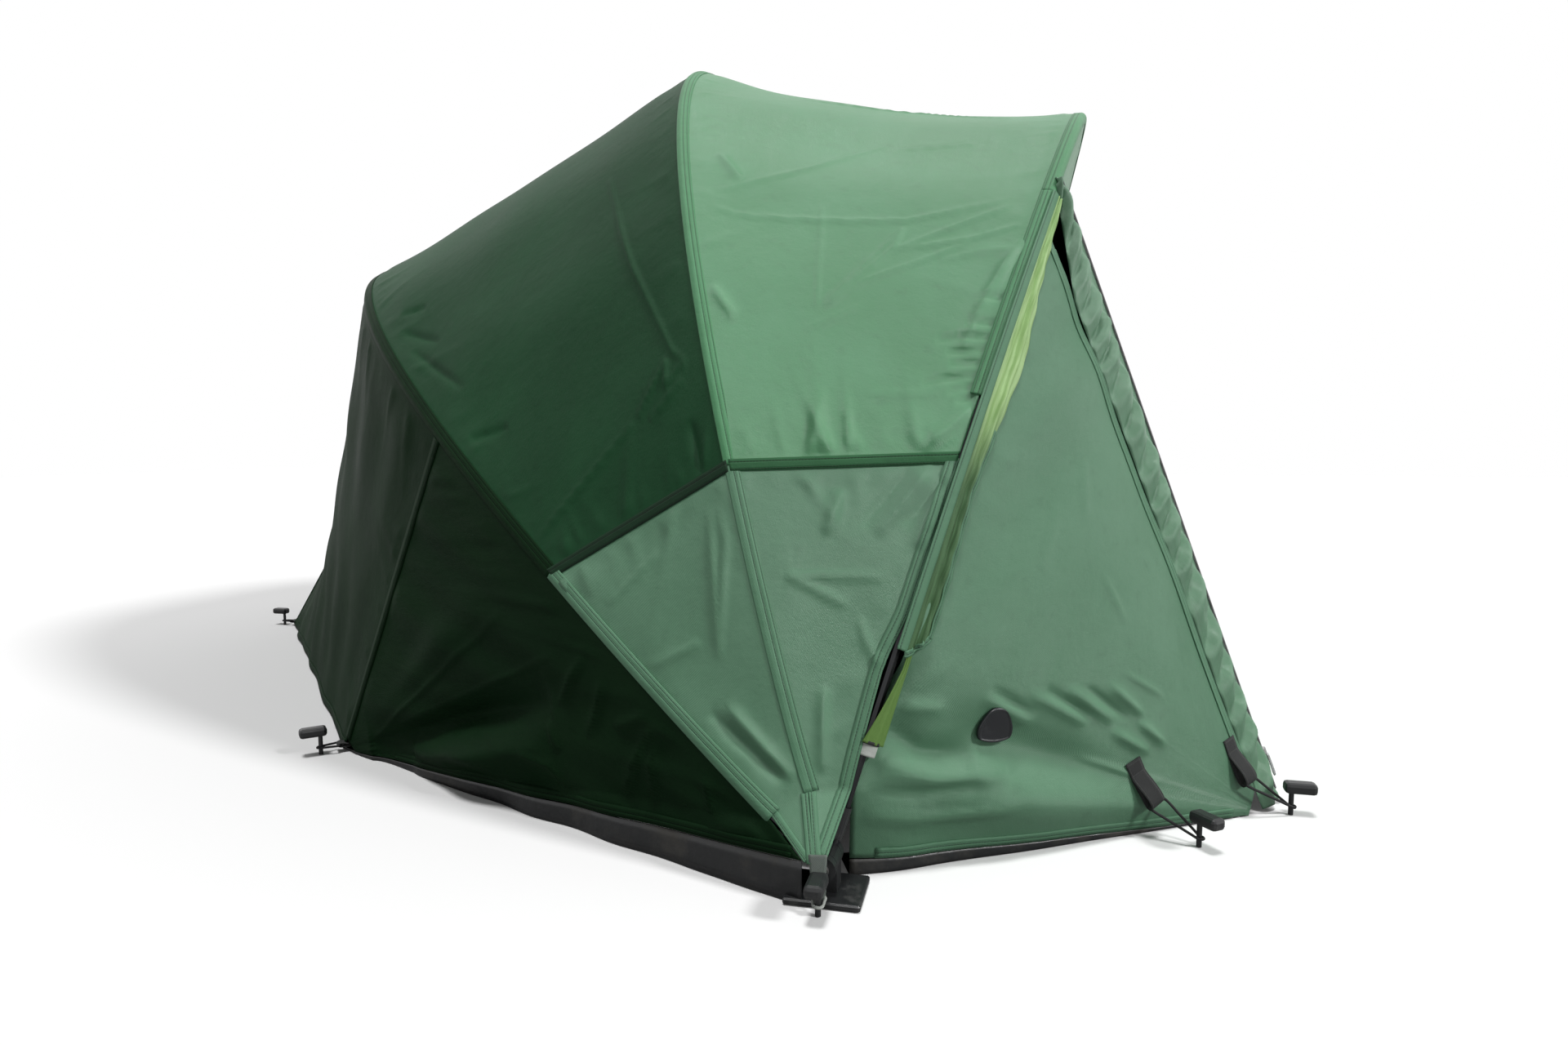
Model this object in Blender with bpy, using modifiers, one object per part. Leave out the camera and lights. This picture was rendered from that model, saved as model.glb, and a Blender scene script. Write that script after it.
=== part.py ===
"""Bivvy tent: a pram-hood fishing shelter.

Three pole ribs turn about one bolt in a hub block on each side. A coated cloth
canopy is stretched over them, with a pointed back, two front wings and a zipped
front door. Metres, +Z up, front at -Y, origin on the ground under the middle.
"""
import math

import bmesh
import bpy
from mathutils import Matrix, Vector

for old in list(bpy.data.objects):
    bpy.data.objects.remove(old, do_unlink=True)

# Driving dimensions
HUB_HEIGHT = 0.040
REAR_HALF_SPAN = 1.252
RIB_STEP = 0.022
REAR_REACH = 1.471
MIDDLE_REACH = 1.353
FRONT_REACH = 1.173
REAR_LEAN = math.radians(53.0)
MIDDLE_LEAN = math.radians(18.8)
FRONT_LEAN = math.radians(-16.3)
SIDE_PEG_OUT = 0.915
SIDE_PEG_BACK = 0.895
TAIL_PEG_BACK = 1.790
WING_PEG_OUT = 0.850
WING_PEG_FRONT = 0.553
DOOR_HALF_WIDTH = 0.770
DOOR_FOOT_FRONT = 0.590

# Roundness of each rib: 2 is an ellipse, more is squarer, less is more pointed
REAR_SIDE_POWER = 2.97
REAR_CROWN_POWER = 1.10
MIDDLE_SIDE_POWER = 2.53
MIDDLE_CROWN_POWER = 1.35
FRONT_SIDE_POWER = 2.69
FRONT_CROWN_POWER = 1.43

# Poles and their fittings
POLE_RADIUS = 0.0065
SOCKET_RADIUS = 0.0090
SOCKET_REACH = 0.058
SOCKET_START = 0.0195
SOCKET_FLOOR = 0.025
NECK_RADIUS = 0.0050
POLE_FOOT_REACH = 0.0254
FERRULE_LENGTH = 0.066
FERRULE_WALL = 0.0010
EYE_RADIUS = 0.0150
EYE_WIDTH = 0.0120
BOLT_RADIUS = 0.0040
BOLT_HEAD_RADIUS = 0.0075
BOLT_HEAD_HEIGHT = 0.0050
FOOT_LENGTH = 0.090
FOOT_WIDTH = 0.080
FOOT_THICKNESS = 0.008
PEDESTAL_LENGTH = 0.028
PLASTIC_EDGE = 0.0020

# Cloth and webbing
CLOTH = 0.0020
SLEEVE_WIDTH = 0.050
SLEEVE_NARROW = 0.012
SLEEVE_EASE = 0.0005
CLOTH_START_REACH = 0.080
HEM_LEAN = math.radians(82.0)
SEAM_GAP = 0.0020
ROOF_FRONT_SAG = 0.035
ROOF_REAR_SAG = 0.008
WING_FOLD = 0.016
SIDE_FOLD = 0.018
RUFFLE_DEPTH = 0.009
RUFFLE_PITCH = 0.095
RUFFLE_SLANT = 0.060
STRIP_BULGE = 0.012
FLAP_WIDTH = 0.060
FLAP_THICKNESS = 0.0020
FLAP_DROP = 0.0006
WEBBING_WIDTH = 0.025
WEBBING = 0.0020
TAB_LENGTH = 0.050
TAB_LIFT = 0.014
TAB_TAIL = 0.010
ELASTIC_RADIUS = 0.0020
LOOP_HEIGHT = 0.012
SIDE_TIE_START = 0.0092
TAIL_TIE_START = 0.0010
BADGE_HALF_WIDTH = 0.024
BADGE_HALF_HEIGHT = 0.025
BADGE_THICKNESS = 0.0025
BADGE_EASE = 0.0012
PATCH_EASE = 0.0006

# Ground pegs, of which only the part above the ground is modelled
PEG_RADIUS = 0.0035
PEG_HEAD_LENGTH = 0.042
PEG_HEAD_WIDTH = 0.022
PEG_HEAD_HEIGHT = 0.016
PEG_HEAD_SHIFT = 0.011
PEG_HEAD_ROUND = 0.005
PEG_STANDOFF = 0.045
PEG_SHANK_HEIGHT = 0.032
HUB_PEG_OUT = 0.055
HUB_TIE_CLEARANCE = 0.003
HUB_TIE_BEND_HEIGHT = 0.058
HUB_TIE_BEND_BACK = 0.008
HUB_TIE_END = 0.010

# Zips
ZIP_TAPE = 0.0140
DOOR_MARGIN = 0.0120
DOOR_DROP = 0.0058
SLIDER_HEIGHT = 0.060
SLIDER_LENGTH = 0.020
SLIDER_WIDTH = 0.010
SLIDER_THICKNESS = 0.006

# Fits
GAP = 0.0004
RUNNING_GAP = 0.0005
OVERRUN = 0.004
WELD = 0.00005

# Where the seams cross the ribs, as angles of the rib formula
REAR_SEAM_TURN = math.radians(33.9)
MIDDLE_SEAM_TURN = math.radians(29.8)
FRONT_SEAM_TURN = math.radians(32.1)
CORNER_TURN = math.radians(46.6)
WING_TURN = math.radians(51.6)
DOOR_TURN = math.radians(57.0)

LEFT = -1
RIGHT = 1
SIDES = {"left": LEFT, "right": RIGHT}
QUARTER_TURN = math.pi / 2

FERRULE_RADIUS = POLE_RADIUS + GAP + FERRULE_WALL
FERRULE_SEAT = FERRULE_RADIUS + GAP + CLOTH / 2
POLE_SEAT = POLE_RADIUS + GAP + CLOTH / 2
HUB_Y = (WING_PEG_FRONT - TAIL_PEG_BACK) / 2


def new_collection(name):
    collection = bpy.data.collections.new(name)
    bpy.context.scene.collection.children.link(collection)
    return collection


TENT = new_collection("bivvy_tent")
CUTTERS = new_collection("cutters")


def material(name, colour, roughness, metallic=0.0):
    made = bpy.data.materials.new(name)
    made.use_nodes = True
    surface = made.node_tree.nodes["Principled BSDF"]
    surface.inputs["Base Color"].default_value = (*colour, 1)
    surface.inputs["Roughness"].default_value = roughness
    surface.inputs["Metallic"].default_value = metallic
    return made


GREEN_CLOTH = material("green_cloth", (0.055, 0.120, 0.060), 0.42)
GREY_GREEN_CLOTH = material("grey_green_cloth", (0.085, 0.130, 0.090), 0.50)
SLEEVE_CLOTH = material("sleeve_cloth", (0.300, 0.420, 0.120), 0.60)
BLACK_PVC = material("black_pvc", (0.012, 0.013, 0.014), 0.45)
BLACK_PLASTIC = material("black_plastic", (0.015, 0.016, 0.018), 0.35)
BLACK_POLE = material("black_pole", (0.020, 0.021, 0.024), 0.30, 0.6)
BLACK_WEBBING = material("black_webbing", (0.018, 0.020, 0.020), 0.80)
GREY_WEBBING = material("grey_webbing", (0.330, 0.350, 0.330), 0.80)
STEEL = material("steel", (0.550, 0.560, 0.570), 0.30, 1.0)
RUBBER = material("badge_rubber", (0.012, 0.012, 0.013), 0.55)


# The shape of a rib and the surfaces stretched between them

FINE_STEPS = 200
LOWER_STEPS = 7
UPPER_STEPS = 14
SEAM = LOWER_STEPS
CROWN = LOWER_STEPS + UPPER_STEPS


def evenly(curve, steps):
    """Points at even distances along curve, a function of a share from 0 to 1."""
    fine = [curve(step / FINE_STEPS) for step in range(FINE_STEPS + 1)]
    run = [0.0]
    for before, after in zip(fine, fine[1:]):
        run.append(run[-1] + (after - before).length)
    points = []
    step = 0
    for number in range(steps + 1):
        target = run[-1] * number / steps
        while step < FINE_STEPS - 1 and run[step + 1] < target:
            step += 1
        share = (target - run[step]) / (run[step + 1] - run[step])
        points.append(fine[step].lerp(fine[step + 1], min(share, 1.0)))
    return points


class Rib:
    """One hoop, in a plane through the hub axis that leans back by lean.

    Its left half is stored as stations, from where the cloth starts up to the crown.
    The pole and every sheet on it pass through the same stations.
    """

    def __init__(self, name, half_span, reach, lean, side_power, crown_power, marks):
        self.name = name
        self.half_span = half_span
        self.reach = reach
        self.lean = lean
        self.side_power = side_power
        self.crown_power = crown_power
        start = math.asin((CLOTH_START_REACH / reach) ** (crown_power / 2))
        self.stations = []
        for end, steps in marks:
            part = evenly(lambda share: self.at(start + (end - start) * share), steps)
            self.stations += part if not self.stations else part[1:]
            start = end

    def place(self, across, out, lean=None):
        lean = self.lean if lean is None else lean
        return Vector((across, HUB_Y + out * math.sin(lean), HUB_HEIGHT + out * math.cos(lean)))

    def at(self, turn):
        """The centre of the left half of the pole, from 0 at the hub to a quarter turn at the crown."""
        across = self.half_span * abs(math.cos(turn)) ** (2 / self.side_power)
        return self.place(-across, self.reach * math.sin(turn) ** (2 / self.crown_power))

    def foot(self, side):
        return self.place(side * self.half_span, 0)

    def run(self, side, first, last):
        """The stations of one side's half, counted up from its hub."""
        return [Vector((-side * place.x, place.y, place.z)) for place in self.stations[first:last + 1]]

    def over(self, first):
        """The stations from one on the left, over the crown, to the same one on the right."""
        return self.run(LEFT, first, CROWN) + self.run(RIGHT, first, CROWN - 1)[::-1]


CORNER = SEAM + 4
WING_TOP = SEAM + 5
DOOR_TOP = WING_TOP + 1
JOINT = SEAM + 1
SLEEVE_MOUTH = 1
SLEEVE_WIDEST = SEAM + 2
REAR = Rib("rear", REAR_HALF_SPAN, REAR_REACH, REAR_LEAN, REAR_SIDE_POWER, REAR_CROWN_POWER,
           ((REAR_SEAM_TURN, LOWER_STEPS), (CORNER_TURN, CORNER - SEAM), (QUARTER_TURN, CROWN - CORNER)))
MIDDLE = Rib("middle", REAR_HALF_SPAN - RIB_STEP, MIDDLE_REACH, MIDDLE_LEAN,
             MIDDLE_SIDE_POWER, MIDDLE_CROWN_POWER,
             ((MIDDLE_SEAM_TURN, LOWER_STEPS), (QUARTER_TURN, UPPER_STEPS)))
FRONT = Rib("front", REAR_HALF_SPAN - 2 * RIB_STEP, FRONT_REACH, FRONT_LEAN,
            FRONT_SIDE_POWER, FRONT_CROWN_POWER,
            ((FRONT_SEAM_TURN, LOWER_STEPS), (WING_TURN, WING_TOP - SEAM),
             (DOOR_TURN, DOOR_TOP - WING_TOP), (QUARTER_TURN, CROWN - DOOR_TOP)))


def link(thing, skin, collection=TENT):
    collection.objects.link(thing)
    if skin is not None:
        thing.data.materials.append(skin)
    return thing


def grid_normals(rows):
    """The normal at each point of a grid of points, from its neighbours."""
    last_row = len(rows) - 1
    last = len(rows[0]) - 1
    normals = []
    for i, row in enumerate(rows):
        line = []
        for j in range(len(row)):
            along = rows[min(i + 1, last_row)][j] - rows[max(i - 1, 0)][j]
            across = row[min(j + 1, last)] - row[max(j - 1, 0)]
            line.append(along.cross(across).normalized())
        normals.append(line)
    return normals


def outward(rows, normals):
    """1 if the normals point away from the tent's middle, else -1."""
    inside = Vector((0, HUB_Y + TAIL_PEG_BACK / 4, HUB_HEIGHT))
    total = sum((rows[i][j] - inside).dot(normals[i][j])
                for i in range(len(rows)) for j in range(len(rows[0])))
    return 1 if total > 0 else -1


def lifted(rows, lift):
    """The grid moved outward; lift(i share, j share) gives the distance at each point."""
    normals = grid_normals(rows)
    sign = outward(rows, normals)
    last_row = len(rows) - 1
    last = len(rows[0]) - 1
    return [[point + normals[i][j] * (sign * lift(i / last_row, j / last))
             for j, point in enumerate(row)] for i, row in enumerate(rows)]


def seated(rows, height):
    return lifted(rows, lambda i, j: height)


def sheet(name, rows, skin, thickness=CLOTH):
    """A closed skin of even thickness on a grid of points."""
    shape = bmesh.new()
    bmesh.ops.create_grid(shape, x_segments=len(rows[0]) - 1, y_segments=len(rows) - 1)
    shape.verts.ensure_lookup_table()
    for number, vertex in enumerate(shape.verts):
        vertex.co = rows[number // len(rows[0])][number % len(rows[0])]
    mesh = bpy.data.meshes.new(name)
    shape.to_mesh(mesh)
    shape.free()
    thing = link(bpy.data.objects.new(name, mesh), skin)
    solid = thing.modifiers.new("thickness", "SOLIDIFY")
    solid.thickness = thickness
    solid.offset = 0
    solid.use_even_offset = True
    return thing


def ruled(edge_a, edge_b, shares):
    """Rows of points on straight lines from edge_a to edge_b."""
    return [[a.lerp(b, share) for share in shares] for a, b in zip(edge_a, edge_b)]


def even_shares(count, start=0.0, end=1.0):
    return [start + (end - start) * number / (count - 1) for number in range(count)]


def hump(share):
    """0 at both ends of a span and 1 in its middle."""
    return 4 * share * (1 - share)


def ridge(value, centre, width):
    return math.exp(-((value - centre) / width) ** 2)


def folds(fold_shares, i, j):
    """The height of a sheet's folds at one place, from -1 to 1."""
    return sum(height * ridge(i, up, up_width) * ridge(j, along, along_width)
               for up, up_width, along, along_width, height in fold_shares)


def ground(across, back, height=0.0):
    return Vector((across, HUB_Y + back, height))


# Rods, blocks and their joining

def tube(name, path, radius, skin, sides=2, collection=TENT):
    """A round rod along a path, as a closed mesh."""
    curve = bpy.data.curves.new(name, "CURVE")
    curve.dimensions = "3D"
    curve.bevel_depth = radius
    curve.bevel_resolution = sides
    curve.use_fill_caps = True
    spline = curve.splines.new("POLY")
    spline.points.add(len(path) - 1)
    for point, place in zip(spline.points, path):
        point.co = (*place, 1)
    drawn = bpy.data.objects.new(name + "_line", curve)
    bpy.context.scene.collection.objects.link(drawn)
    bpy.context.view_layer.update()
    mesh = bpy.data.meshes.new_from_object(drawn.evaluated_get(bpy.context.evaluated_depsgraph_get()))
    bpy.data.objects.remove(drawn, do_unlink=True)
    shape = bmesh.new()
    shape.from_mesh(mesh)
    bmesh.ops.remove_doubles(shape, verts=shape.verts, dist=WELD)
    shape.to_mesh(mesh)
    shape.free()
    mesh.materials.clear()
    mesh.name = name
    thing = link(bpy.data.objects.new(name, mesh), skin, collection)
    return as_cutter(thing) if collection is CUTTERS else thing


def as_cutter(thing):
    thing.hide_render = True
    thing.display_type = "WIRE"
    return thing


def mesh_object(name, shape, skin, collection=TENT):
    mesh = bpy.data.meshes.new(name)
    shape.to_mesh(mesh)
    shape.free()
    return link(bpy.data.objects.new(name, mesh), skin, collection)


def rod(name, start, end, radius, skin=None, collection=CUTTERS, sides=16):
    """A straight cylinder between two points."""
    run = end - start
    shape = bmesh.new()
    bmesh.ops.create_cone(shape, cap_ends=True, segments=sides, radius1=radius, radius2=radius,
                          depth=run.length)
    thing = mesh_object(name, shape, skin, collection)
    thing.matrix_world = (Matrix.Translation((start + end) / 2)
                          @ run.to_track_quat("Z", "Y").to_matrix().to_4x4())
    return as_cutter(thing) if collection is CUTTERS else thing


def block(name, centre, size, skin=None, collection=CUTTERS, turn=None):
    """A box of the given size about its centre."""
    shape = bmesh.new()
    bmesh.ops.create_cube(shape, size=1)
    bmesh.ops.scale(shape, vec=size, verts=shape.verts)
    thing = mesh_object(name, shape, skin, collection)
    thing.matrix_world = Matrix.Translation(centre) @ (turn or Matrix.Identity(4))
    return as_cutter(thing) if collection is CUTTERS else thing


def combine(thing, other, operation):
    step = thing.modifiers.new(other.name, "BOOLEAN")
    step.object = other
    step.operation = operation


def round_edges(thing, width, steps=1):
    bevel = thing.modifiers.new("edges", "BEVEL")
    bevel.width = width
    bevel.segments = steps
    bevel.limit_method = "ANGLE"


# Hub blocks: a foot on the ground, an eye on the bolt and the middle rib's fixed socket

def socket_direction(rib, side):
    """The way a socket points: to where its pole leaves it."""
    return (rib.run(side, 0, 0)[0] - rib.foot(side)).normalized()


def add_socket(thing, name, rib, side):
    way = socket_direction(rib, side)
    foot = rib.foot(side)
    neck_end = rib.place(foot.x, SOCKET_START + NECK_RADIUS / 2)
    combine(thing, rod(name + "_neck", foot, neck_end, NECK_RADIUS), "UNION")
    combine(thing, rod(name + "_socket", foot + way * SOCKET_START, foot + way * SOCKET_REACH,
                       SOCKET_RADIUS), "UNION")
    combine(thing, rod(name + "_bore", foot + way * SOCKET_FLOOR, foot + way * (SOCKET_REACH + OVERRUN),
                       POLE_RADIUS + GAP), "DIFFERENCE")


def add_bolt_hole(thing, name, place, width):
    reach = Vector((width / 2 + OVERRUN, 0, 0))
    combine(thing, rod(name + "_hole", place - reach, place + reach, BOLT_RADIUS + GAP), "DIFFERENCE")


EYE_HALF = Vector((EYE_WIDTH / 2, 0, 0))
HUB_EYE_WIDTH = 2 * RIB_STEP - EYE_WIDTH - 2 * RUNNING_GAP
for label, side in SIDES.items():
    name = f"hub_{label}"
    centre = MIDDLE.foot(side)
    half = Vector((HUB_EYE_WIDTH / 2, 0, 0))
    foot_place = Vector((centre.x, centre.y, FOOT_THICKNESS / 2))
    hub = block(name, foot_place, (FOOT_WIDTH, FOOT_LENGTH, FOOT_THICKNESS), BLACK_PLASTIC, TENT)
    round_edges(hub, PLASTIC_EDGE)
    pedestal_height = HUB_HEIGHT - FOOT_THICKNESS / 2
    pedestal = block(name + "_pedestal", Vector((centre.x, centre.y, HUB_HEIGHT - pedestal_height / 2)),
                     (HUB_EYE_WIDTH - PLASTIC_EDGE, PEDESTAL_LENGTH, pedestal_height))
    combine(hub, pedestal, "UNION")
    combine(hub, rod(name + "_eye", centre - half, centre + half, EYE_RADIUS), "UNION")
    add_socket(hub, name, MIDDLE, side)
    add_bolt_hole(hub, name, centre, HUB_EYE_WIDTH)

    bolt_name = f"hub_bolt_{label}"
    outer = REAR.foot(side) + EYE_HALF * side + Vector((side * RUNNING_GAP, 0, 0))
    inner = FRONT.foot(side) - EYE_HALF * side - Vector((side * RUNNING_GAP, 0, 0))
    head = Vector((side * BOLT_HEAD_HEIGHT, 0, 0))
    bolt = rod(bolt_name, inner - head, outer + head, BOLT_RADIUS, STEEL, TENT, 16)
    combine(bolt, rod(bolt_name + "_head", outer, outer + head, BOLT_HEAD_RADIUS, sides=16), "UNION")
    combine(bolt, rod(bolt_name + "_nut", inner - head, inner, BOLT_HEAD_RADIUS, sides=6), "UNION")

    for rib in (REAR, FRONT):
        knuckle_name = f"{rib.name}_knuckle_{label}"
        knuckle_foot = rib.foot(side)
        knuckle = rod(knuckle_name, knuckle_foot - EYE_HALF, knuckle_foot + EYE_HALF, EYE_RADIUS,
                      BLACK_PLASTIC, TENT)
        add_socket(knuckle, knuckle_name, rib, side)
        add_bolt_hole(knuckle, knuckle_name, knuckle_foot, EYE_WIDTH)


# Poles: a leg on each side with its ferrule, and a crown that pushes into both ferrules

def pole_joint(rib, side):
    """The middle of a straight stretch of the pole, and the way up along it."""
    below, above = rib.run(side, JOINT, JOINT + 1)
    return below.lerp(above, 0.5), (above - below).normalized()


for rib in (REAR, MIDDLE, FRONT):
    for label, side in SIDES.items():
        butt, along = pole_joint(rib, side)
        foot = rib.foot(side) + socket_direction(rib, side) * POLE_FOOT_REACH
        leg_name = f"{rib.name}_leg_{label}"
        leg = tube(leg_name, [foot] + rib.run(side, 0, JOINT) + [butt], POLE_RADIUS, BLACK_POLE)
        lower = butt - along * FERRULE_LENGTH / 2
        upper = butt + along * FERRULE_LENGTH / 2
        combine(leg, rod(leg_name + "_ferrule", lower, upper, FERRULE_RADIUS), "UNION")
        combine(leg, rod(leg_name + "_mouth", butt, butt + along * (FERRULE_LENGTH / 2 + OVERRUN),
                         POLE_RADIUS + GAP), "DIFFERENCE")
    ends = [butt + along * GAP for butt, along in (pole_joint(rib, LEFT), pole_joint(rib, RIGHT))]
    tube(f"{rib.name}_crown", [ends[0]] + rib.over(JOINT + 1) + [ends[1]], POLE_RADIUS, BLACK_POLE)


# Roof: an upper sheet over each pair of ribs, and a lower sheet on each side

ROOF_COLUMNS = 7
HEM_FREE_SHARE = 0.30


def roof_rows(edge_a, edge_b, sag=0.0):
    """A sheet stretched over two ribs: tangent to both poles, and sagging between."""
    rows = ruled(edge_a, edge_b, even_shares(ROOF_COLUMNS))
    return lifted(rows, lambda i, j: FERRULE_SEAT - sag * hump(i) * hump(j))


def shortened(rows, gap):
    """The grid with its last row drawn back by a seam's gap."""
    before, last = rows[-2:]
    drawn = [b + (a - b).normalized() * gap for a, b in zip(before, last)]
    return rows[:-1] + [drawn]


def lower_front(side):
    """The lower front sheet, whose front hem hangs free behind the front pole near the hub."""
    rows = []
    for number, (a, b) in enumerate(zip(MIDDLE.run(side, 0, SEAM), FRONT.run(side, 0, SEAM))):
        free = HEM_FREE_SHARE * (1 - number / SEAM)
        rows.append([a.lerp(b, share) for share in even_shares(ROOF_COLUMNS, 0.0, 1.0 - free)])
    return shortened(seated(rows, POLE_SEAT), SEAM_GAP)


def lower_rear(side):
    rows = ruled(MIDDLE.run(side, 0, SEAM), REAR.run(side, 0, SEAM), even_shares(ROOF_COLUMNS))
    return shortened(seated(rows, POLE_SEAT), SEAM_GAP)


sheet("roof_front_upper", roof_rows(MIDDLE.over(SEAM), FRONT.over(SEAM), ROOF_FRONT_SAG), GREEN_CLOTH)
sheet("roof_rear_upper", roof_rows(MIDDLE.over(SEAM), REAR.over(SEAM), ROOF_REAR_SAG), GREEN_CLOTH)
for label, side in SIDES.items():
    sheet(f"roof_front_lower_{label}", lower_front(side), GREY_GREEN_CLOTH)
    sheet(f"roof_rear_lower_{label}", lower_rear(side), GREY_GREEN_CLOTH)


# Back: a side triangle and a back face on each side, drawn down to the pegs

FAN_COLUMNS = 10
FAN_END_SHARE = 0.965
BACK_COLUMNS = 8
# Each fold: its place and width up the sheet, its place and width along it, and its height
SIDE_FOLD_SHARES = ((0.22, 0.10, 0.62, 0.25, 1.0), (0.42, 0.07, 0.60, 0.20, -1.0),
                    (0.72, 0.06, 0.45, 0.20, 0.5))
WING_FOLD_SHARES = ((0.10, 0.07, 0.35, 0.30, 1.0), (0.22, 0.06, 0.30, 0.22, -1.0))


def fan(pole, peg):
    """Rows of points on straight lines from a pole to a peg, stopped just short of the peg."""
    shares = even_shares(FAN_COLUMNS, 0.0, FAN_END_SHARE)
    return [[point.lerp(peg, share) for share in shares] for point in pole]


def side_rows(side):
    """The side triangle, whose lowest row is the hem, with the folds that hang in it."""
    hem_start = REAR.place(side * REAR.half_span, CLOTH_START_REACH, HEM_LEAN)
    pole = [hem_start] + REAR.run(side, 0, CORNER)
    return lifted(fan(pole, ground(side * SIDE_PEG_OUT, SIDE_PEG_BACK, CLOTH)),
                  lambda i, j: FERRULE_SEAT + SIDE_FOLD * folds(SIDE_FOLD_SHARES, i, j) * hump(j))


def back_rows(side):
    """The back face, from the rear rib to the ground between the side peg and the tail peg."""
    side_peg = ground(side * SIDE_PEG_OUT, SIDE_PEG_BACK, CLOTH)
    tail_peg = ground(0, TAIL_PEG_BACK, CLOTH)
    pole = REAR.run(side, CORNER, CROWN)
    hem = [side_peg.lerp(tail_peg, share) for share in even_shares(len(pole))]
    rows = ruled(pole, hem, even_shares(BACK_COLUMNS))
    return seated(shortened(rows, SEAM_GAP), FERRULE_SEAT)


for label, side in SIDES.items():
    sheet(f"side_panel_{label}", side_rows(side), GREEN_CLOTH)
    sheet(f"back_panel_{label}", back_rows(side), GREEN_CLOTH)


# Front: a wing on each side, a gathered zip strip, a brow over the door and the door

def wing_peg(side):
    return ground(side * WING_PEG_OUT, -WING_PEG_FRONT, CLOTH)


def door_foot(side):
    return ground(side * DOOR_HALF_WIDTH, -DOOR_FOOT_FRONT, CLOTH)


def wing_rows(side):
    """The wing, a fan from its peg to the front pole; its lowest row is the hem."""
    hem_start = FRONT.place(side * FRONT.half_span, CLOTH_START_REACH, -HEM_LEAN)
    pole = [hem_start] + FRONT.run(side, 0, WING_TOP)
    return lifted(fan(pole, wing_peg(side)),
                  lambda i, j: FERRULE_SEAT + WING_FOLD * folds(WING_FOLD_SHARES, i, j) * hump(j))


STRIP_ROWS = 36
GATHER_COLUMNS = 4
FACE_COLUMNS = 5
DOOR_ROWS = 9
BROW_CORNER_SHARE = 0.15
VENT_SHARE = 0.14
VENT_OPEN_SHARE = 0.75


def strip_edges(side, share):
    """The strip's two edges: the wing's front seam and the zip, from the pole down to the ground."""
    pole_a, pole_b = FRONT.run(side, WING_TOP, DOOR_TOP)
    seam = pole_a.lerp(wing_peg(side), share)
    seam += (pole_b - pole_a) * VENT_OPEN_SHARE * max(0.0, 1 - share / VENT_SHARE)
    return seam, pole_b.lerp(door_foot(side), share)


def zip_frame(side):
    """The zip's run up from the ground, the way across its tape and the way that it faces."""
    seam, middle = strip_edges(side, 0.5)
    along = (FRONT.run(side, DOOR_TOP, DOOR_TOP)[0] - door_foot(side)).normalized()
    facing = along.cross(middle - seam).normalized()
    if facing.y > 0:
        facing = -facing
    across = facing.cross(along)
    return along, across if across.dot(middle - seam) > 0 else -across, facing


def strip_rows(side):
    """The gathered strip, which ends in the flat zip tape along the door."""
    length = (FRONT.run(side, DOOR_TOP, DOOR_TOP)[0] - door_foot(side)).length
    across, facing = zip_frame(side)[1:]
    gathered = []
    tapes = []
    for share in even_shares(STRIP_ROWS):
        seam, zip_line = strip_edges(side, share)
        tape = zip_line - across * ZIP_TAPE
        near = seam + (tape - seam).normalized() * SEAM_GAP
        gathered.append([near.lerp(tape, part) for part in even_shares(GATHER_COLUMNS)])
        tapes.append([tape + facing * POLE_SEAT, zip_line + facing * POLE_SEAT])

    def lift(i, j):
        wave = math.sin(2 * math.pi * (i * length + j * RUFFLE_SLANT) / RUFFLE_PITCH)
        return POLE_SEAT + hump(j) * (STRIP_BULGE + RUFFLE_DEPTH * wave)
    return [row[:-1] + tape for row, tape in zip(lifted(gathered, lift), tapes)]


def brow_face():
    """The brow, flat in the front crown's plane, down to the straight line between the zips' tops."""
    pole = FRONT.over(DOOR_TOP)
    corners = [a.lerp(b, BROW_CORNER_SHARE) for a, b in (pole[:2], pole[:-3:-1])]
    edge = corners[:1] + pole[1:-1] + corners[1:]
    low = [Vector((place.x, pole[0].y, pole[0].z)) for place in edge]
    return ruled(edge, low, even_shares(FACE_COLUMNS))


def door_face():
    """The door, flat between the two zips, from just under the brow down to the ground."""
    tops = [FRONT.run(side, DOOR_TOP, DOOR_TOP)[0] for side in (LEFT, RIGHT)]
    shares = even_shares(DOOR_ROWS)
    drop = DOOR_DROP / (door_foot(LEFT) - tops[0]).length
    return ruled([tops[0].lerp(tops[1], share) for share in shares],
                 [door_foot(LEFT).lerp(door_foot(RIGHT), share) for share in shares],
                 even_shares(FACE_COLUMNS, drop))


def narrowed(rows, margin):
    """The grid with its first and last rows drawn in."""
    first = [a + (b - a).normalized() * margin for a, b in zip(rows[0], rows[1])]
    last = [a + (b - a).normalized() * margin for a, b in zip(rows[-1], rows[-2])]
    return [first] + rows[1:-1] + [last]


def on_grid(rows, i_share, j_share):
    """The place on a grid of points at two shares."""
    i = i_share * (len(rows) - 1)
    j = j_share * (len(rows[0]) - 1)
    low_i = min(int(i), len(rows) - 2)
    low_j = min(int(j), len(rows[0]) - 2)
    near = rows[low_i][low_j].lerp(rows[low_i][low_j + 1], j - low_j)
    far = rows[low_i + 1][low_j].lerp(rows[low_i + 1][low_j + 1], j - low_j)
    return near.lerp(far, i - low_i)


def above_cloth(thickness):
    """How far the middle of a piece lies over the middle of the cloth that it is sewn to."""
    return CLOTH / 2 + GAP + thickness / 2


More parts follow.
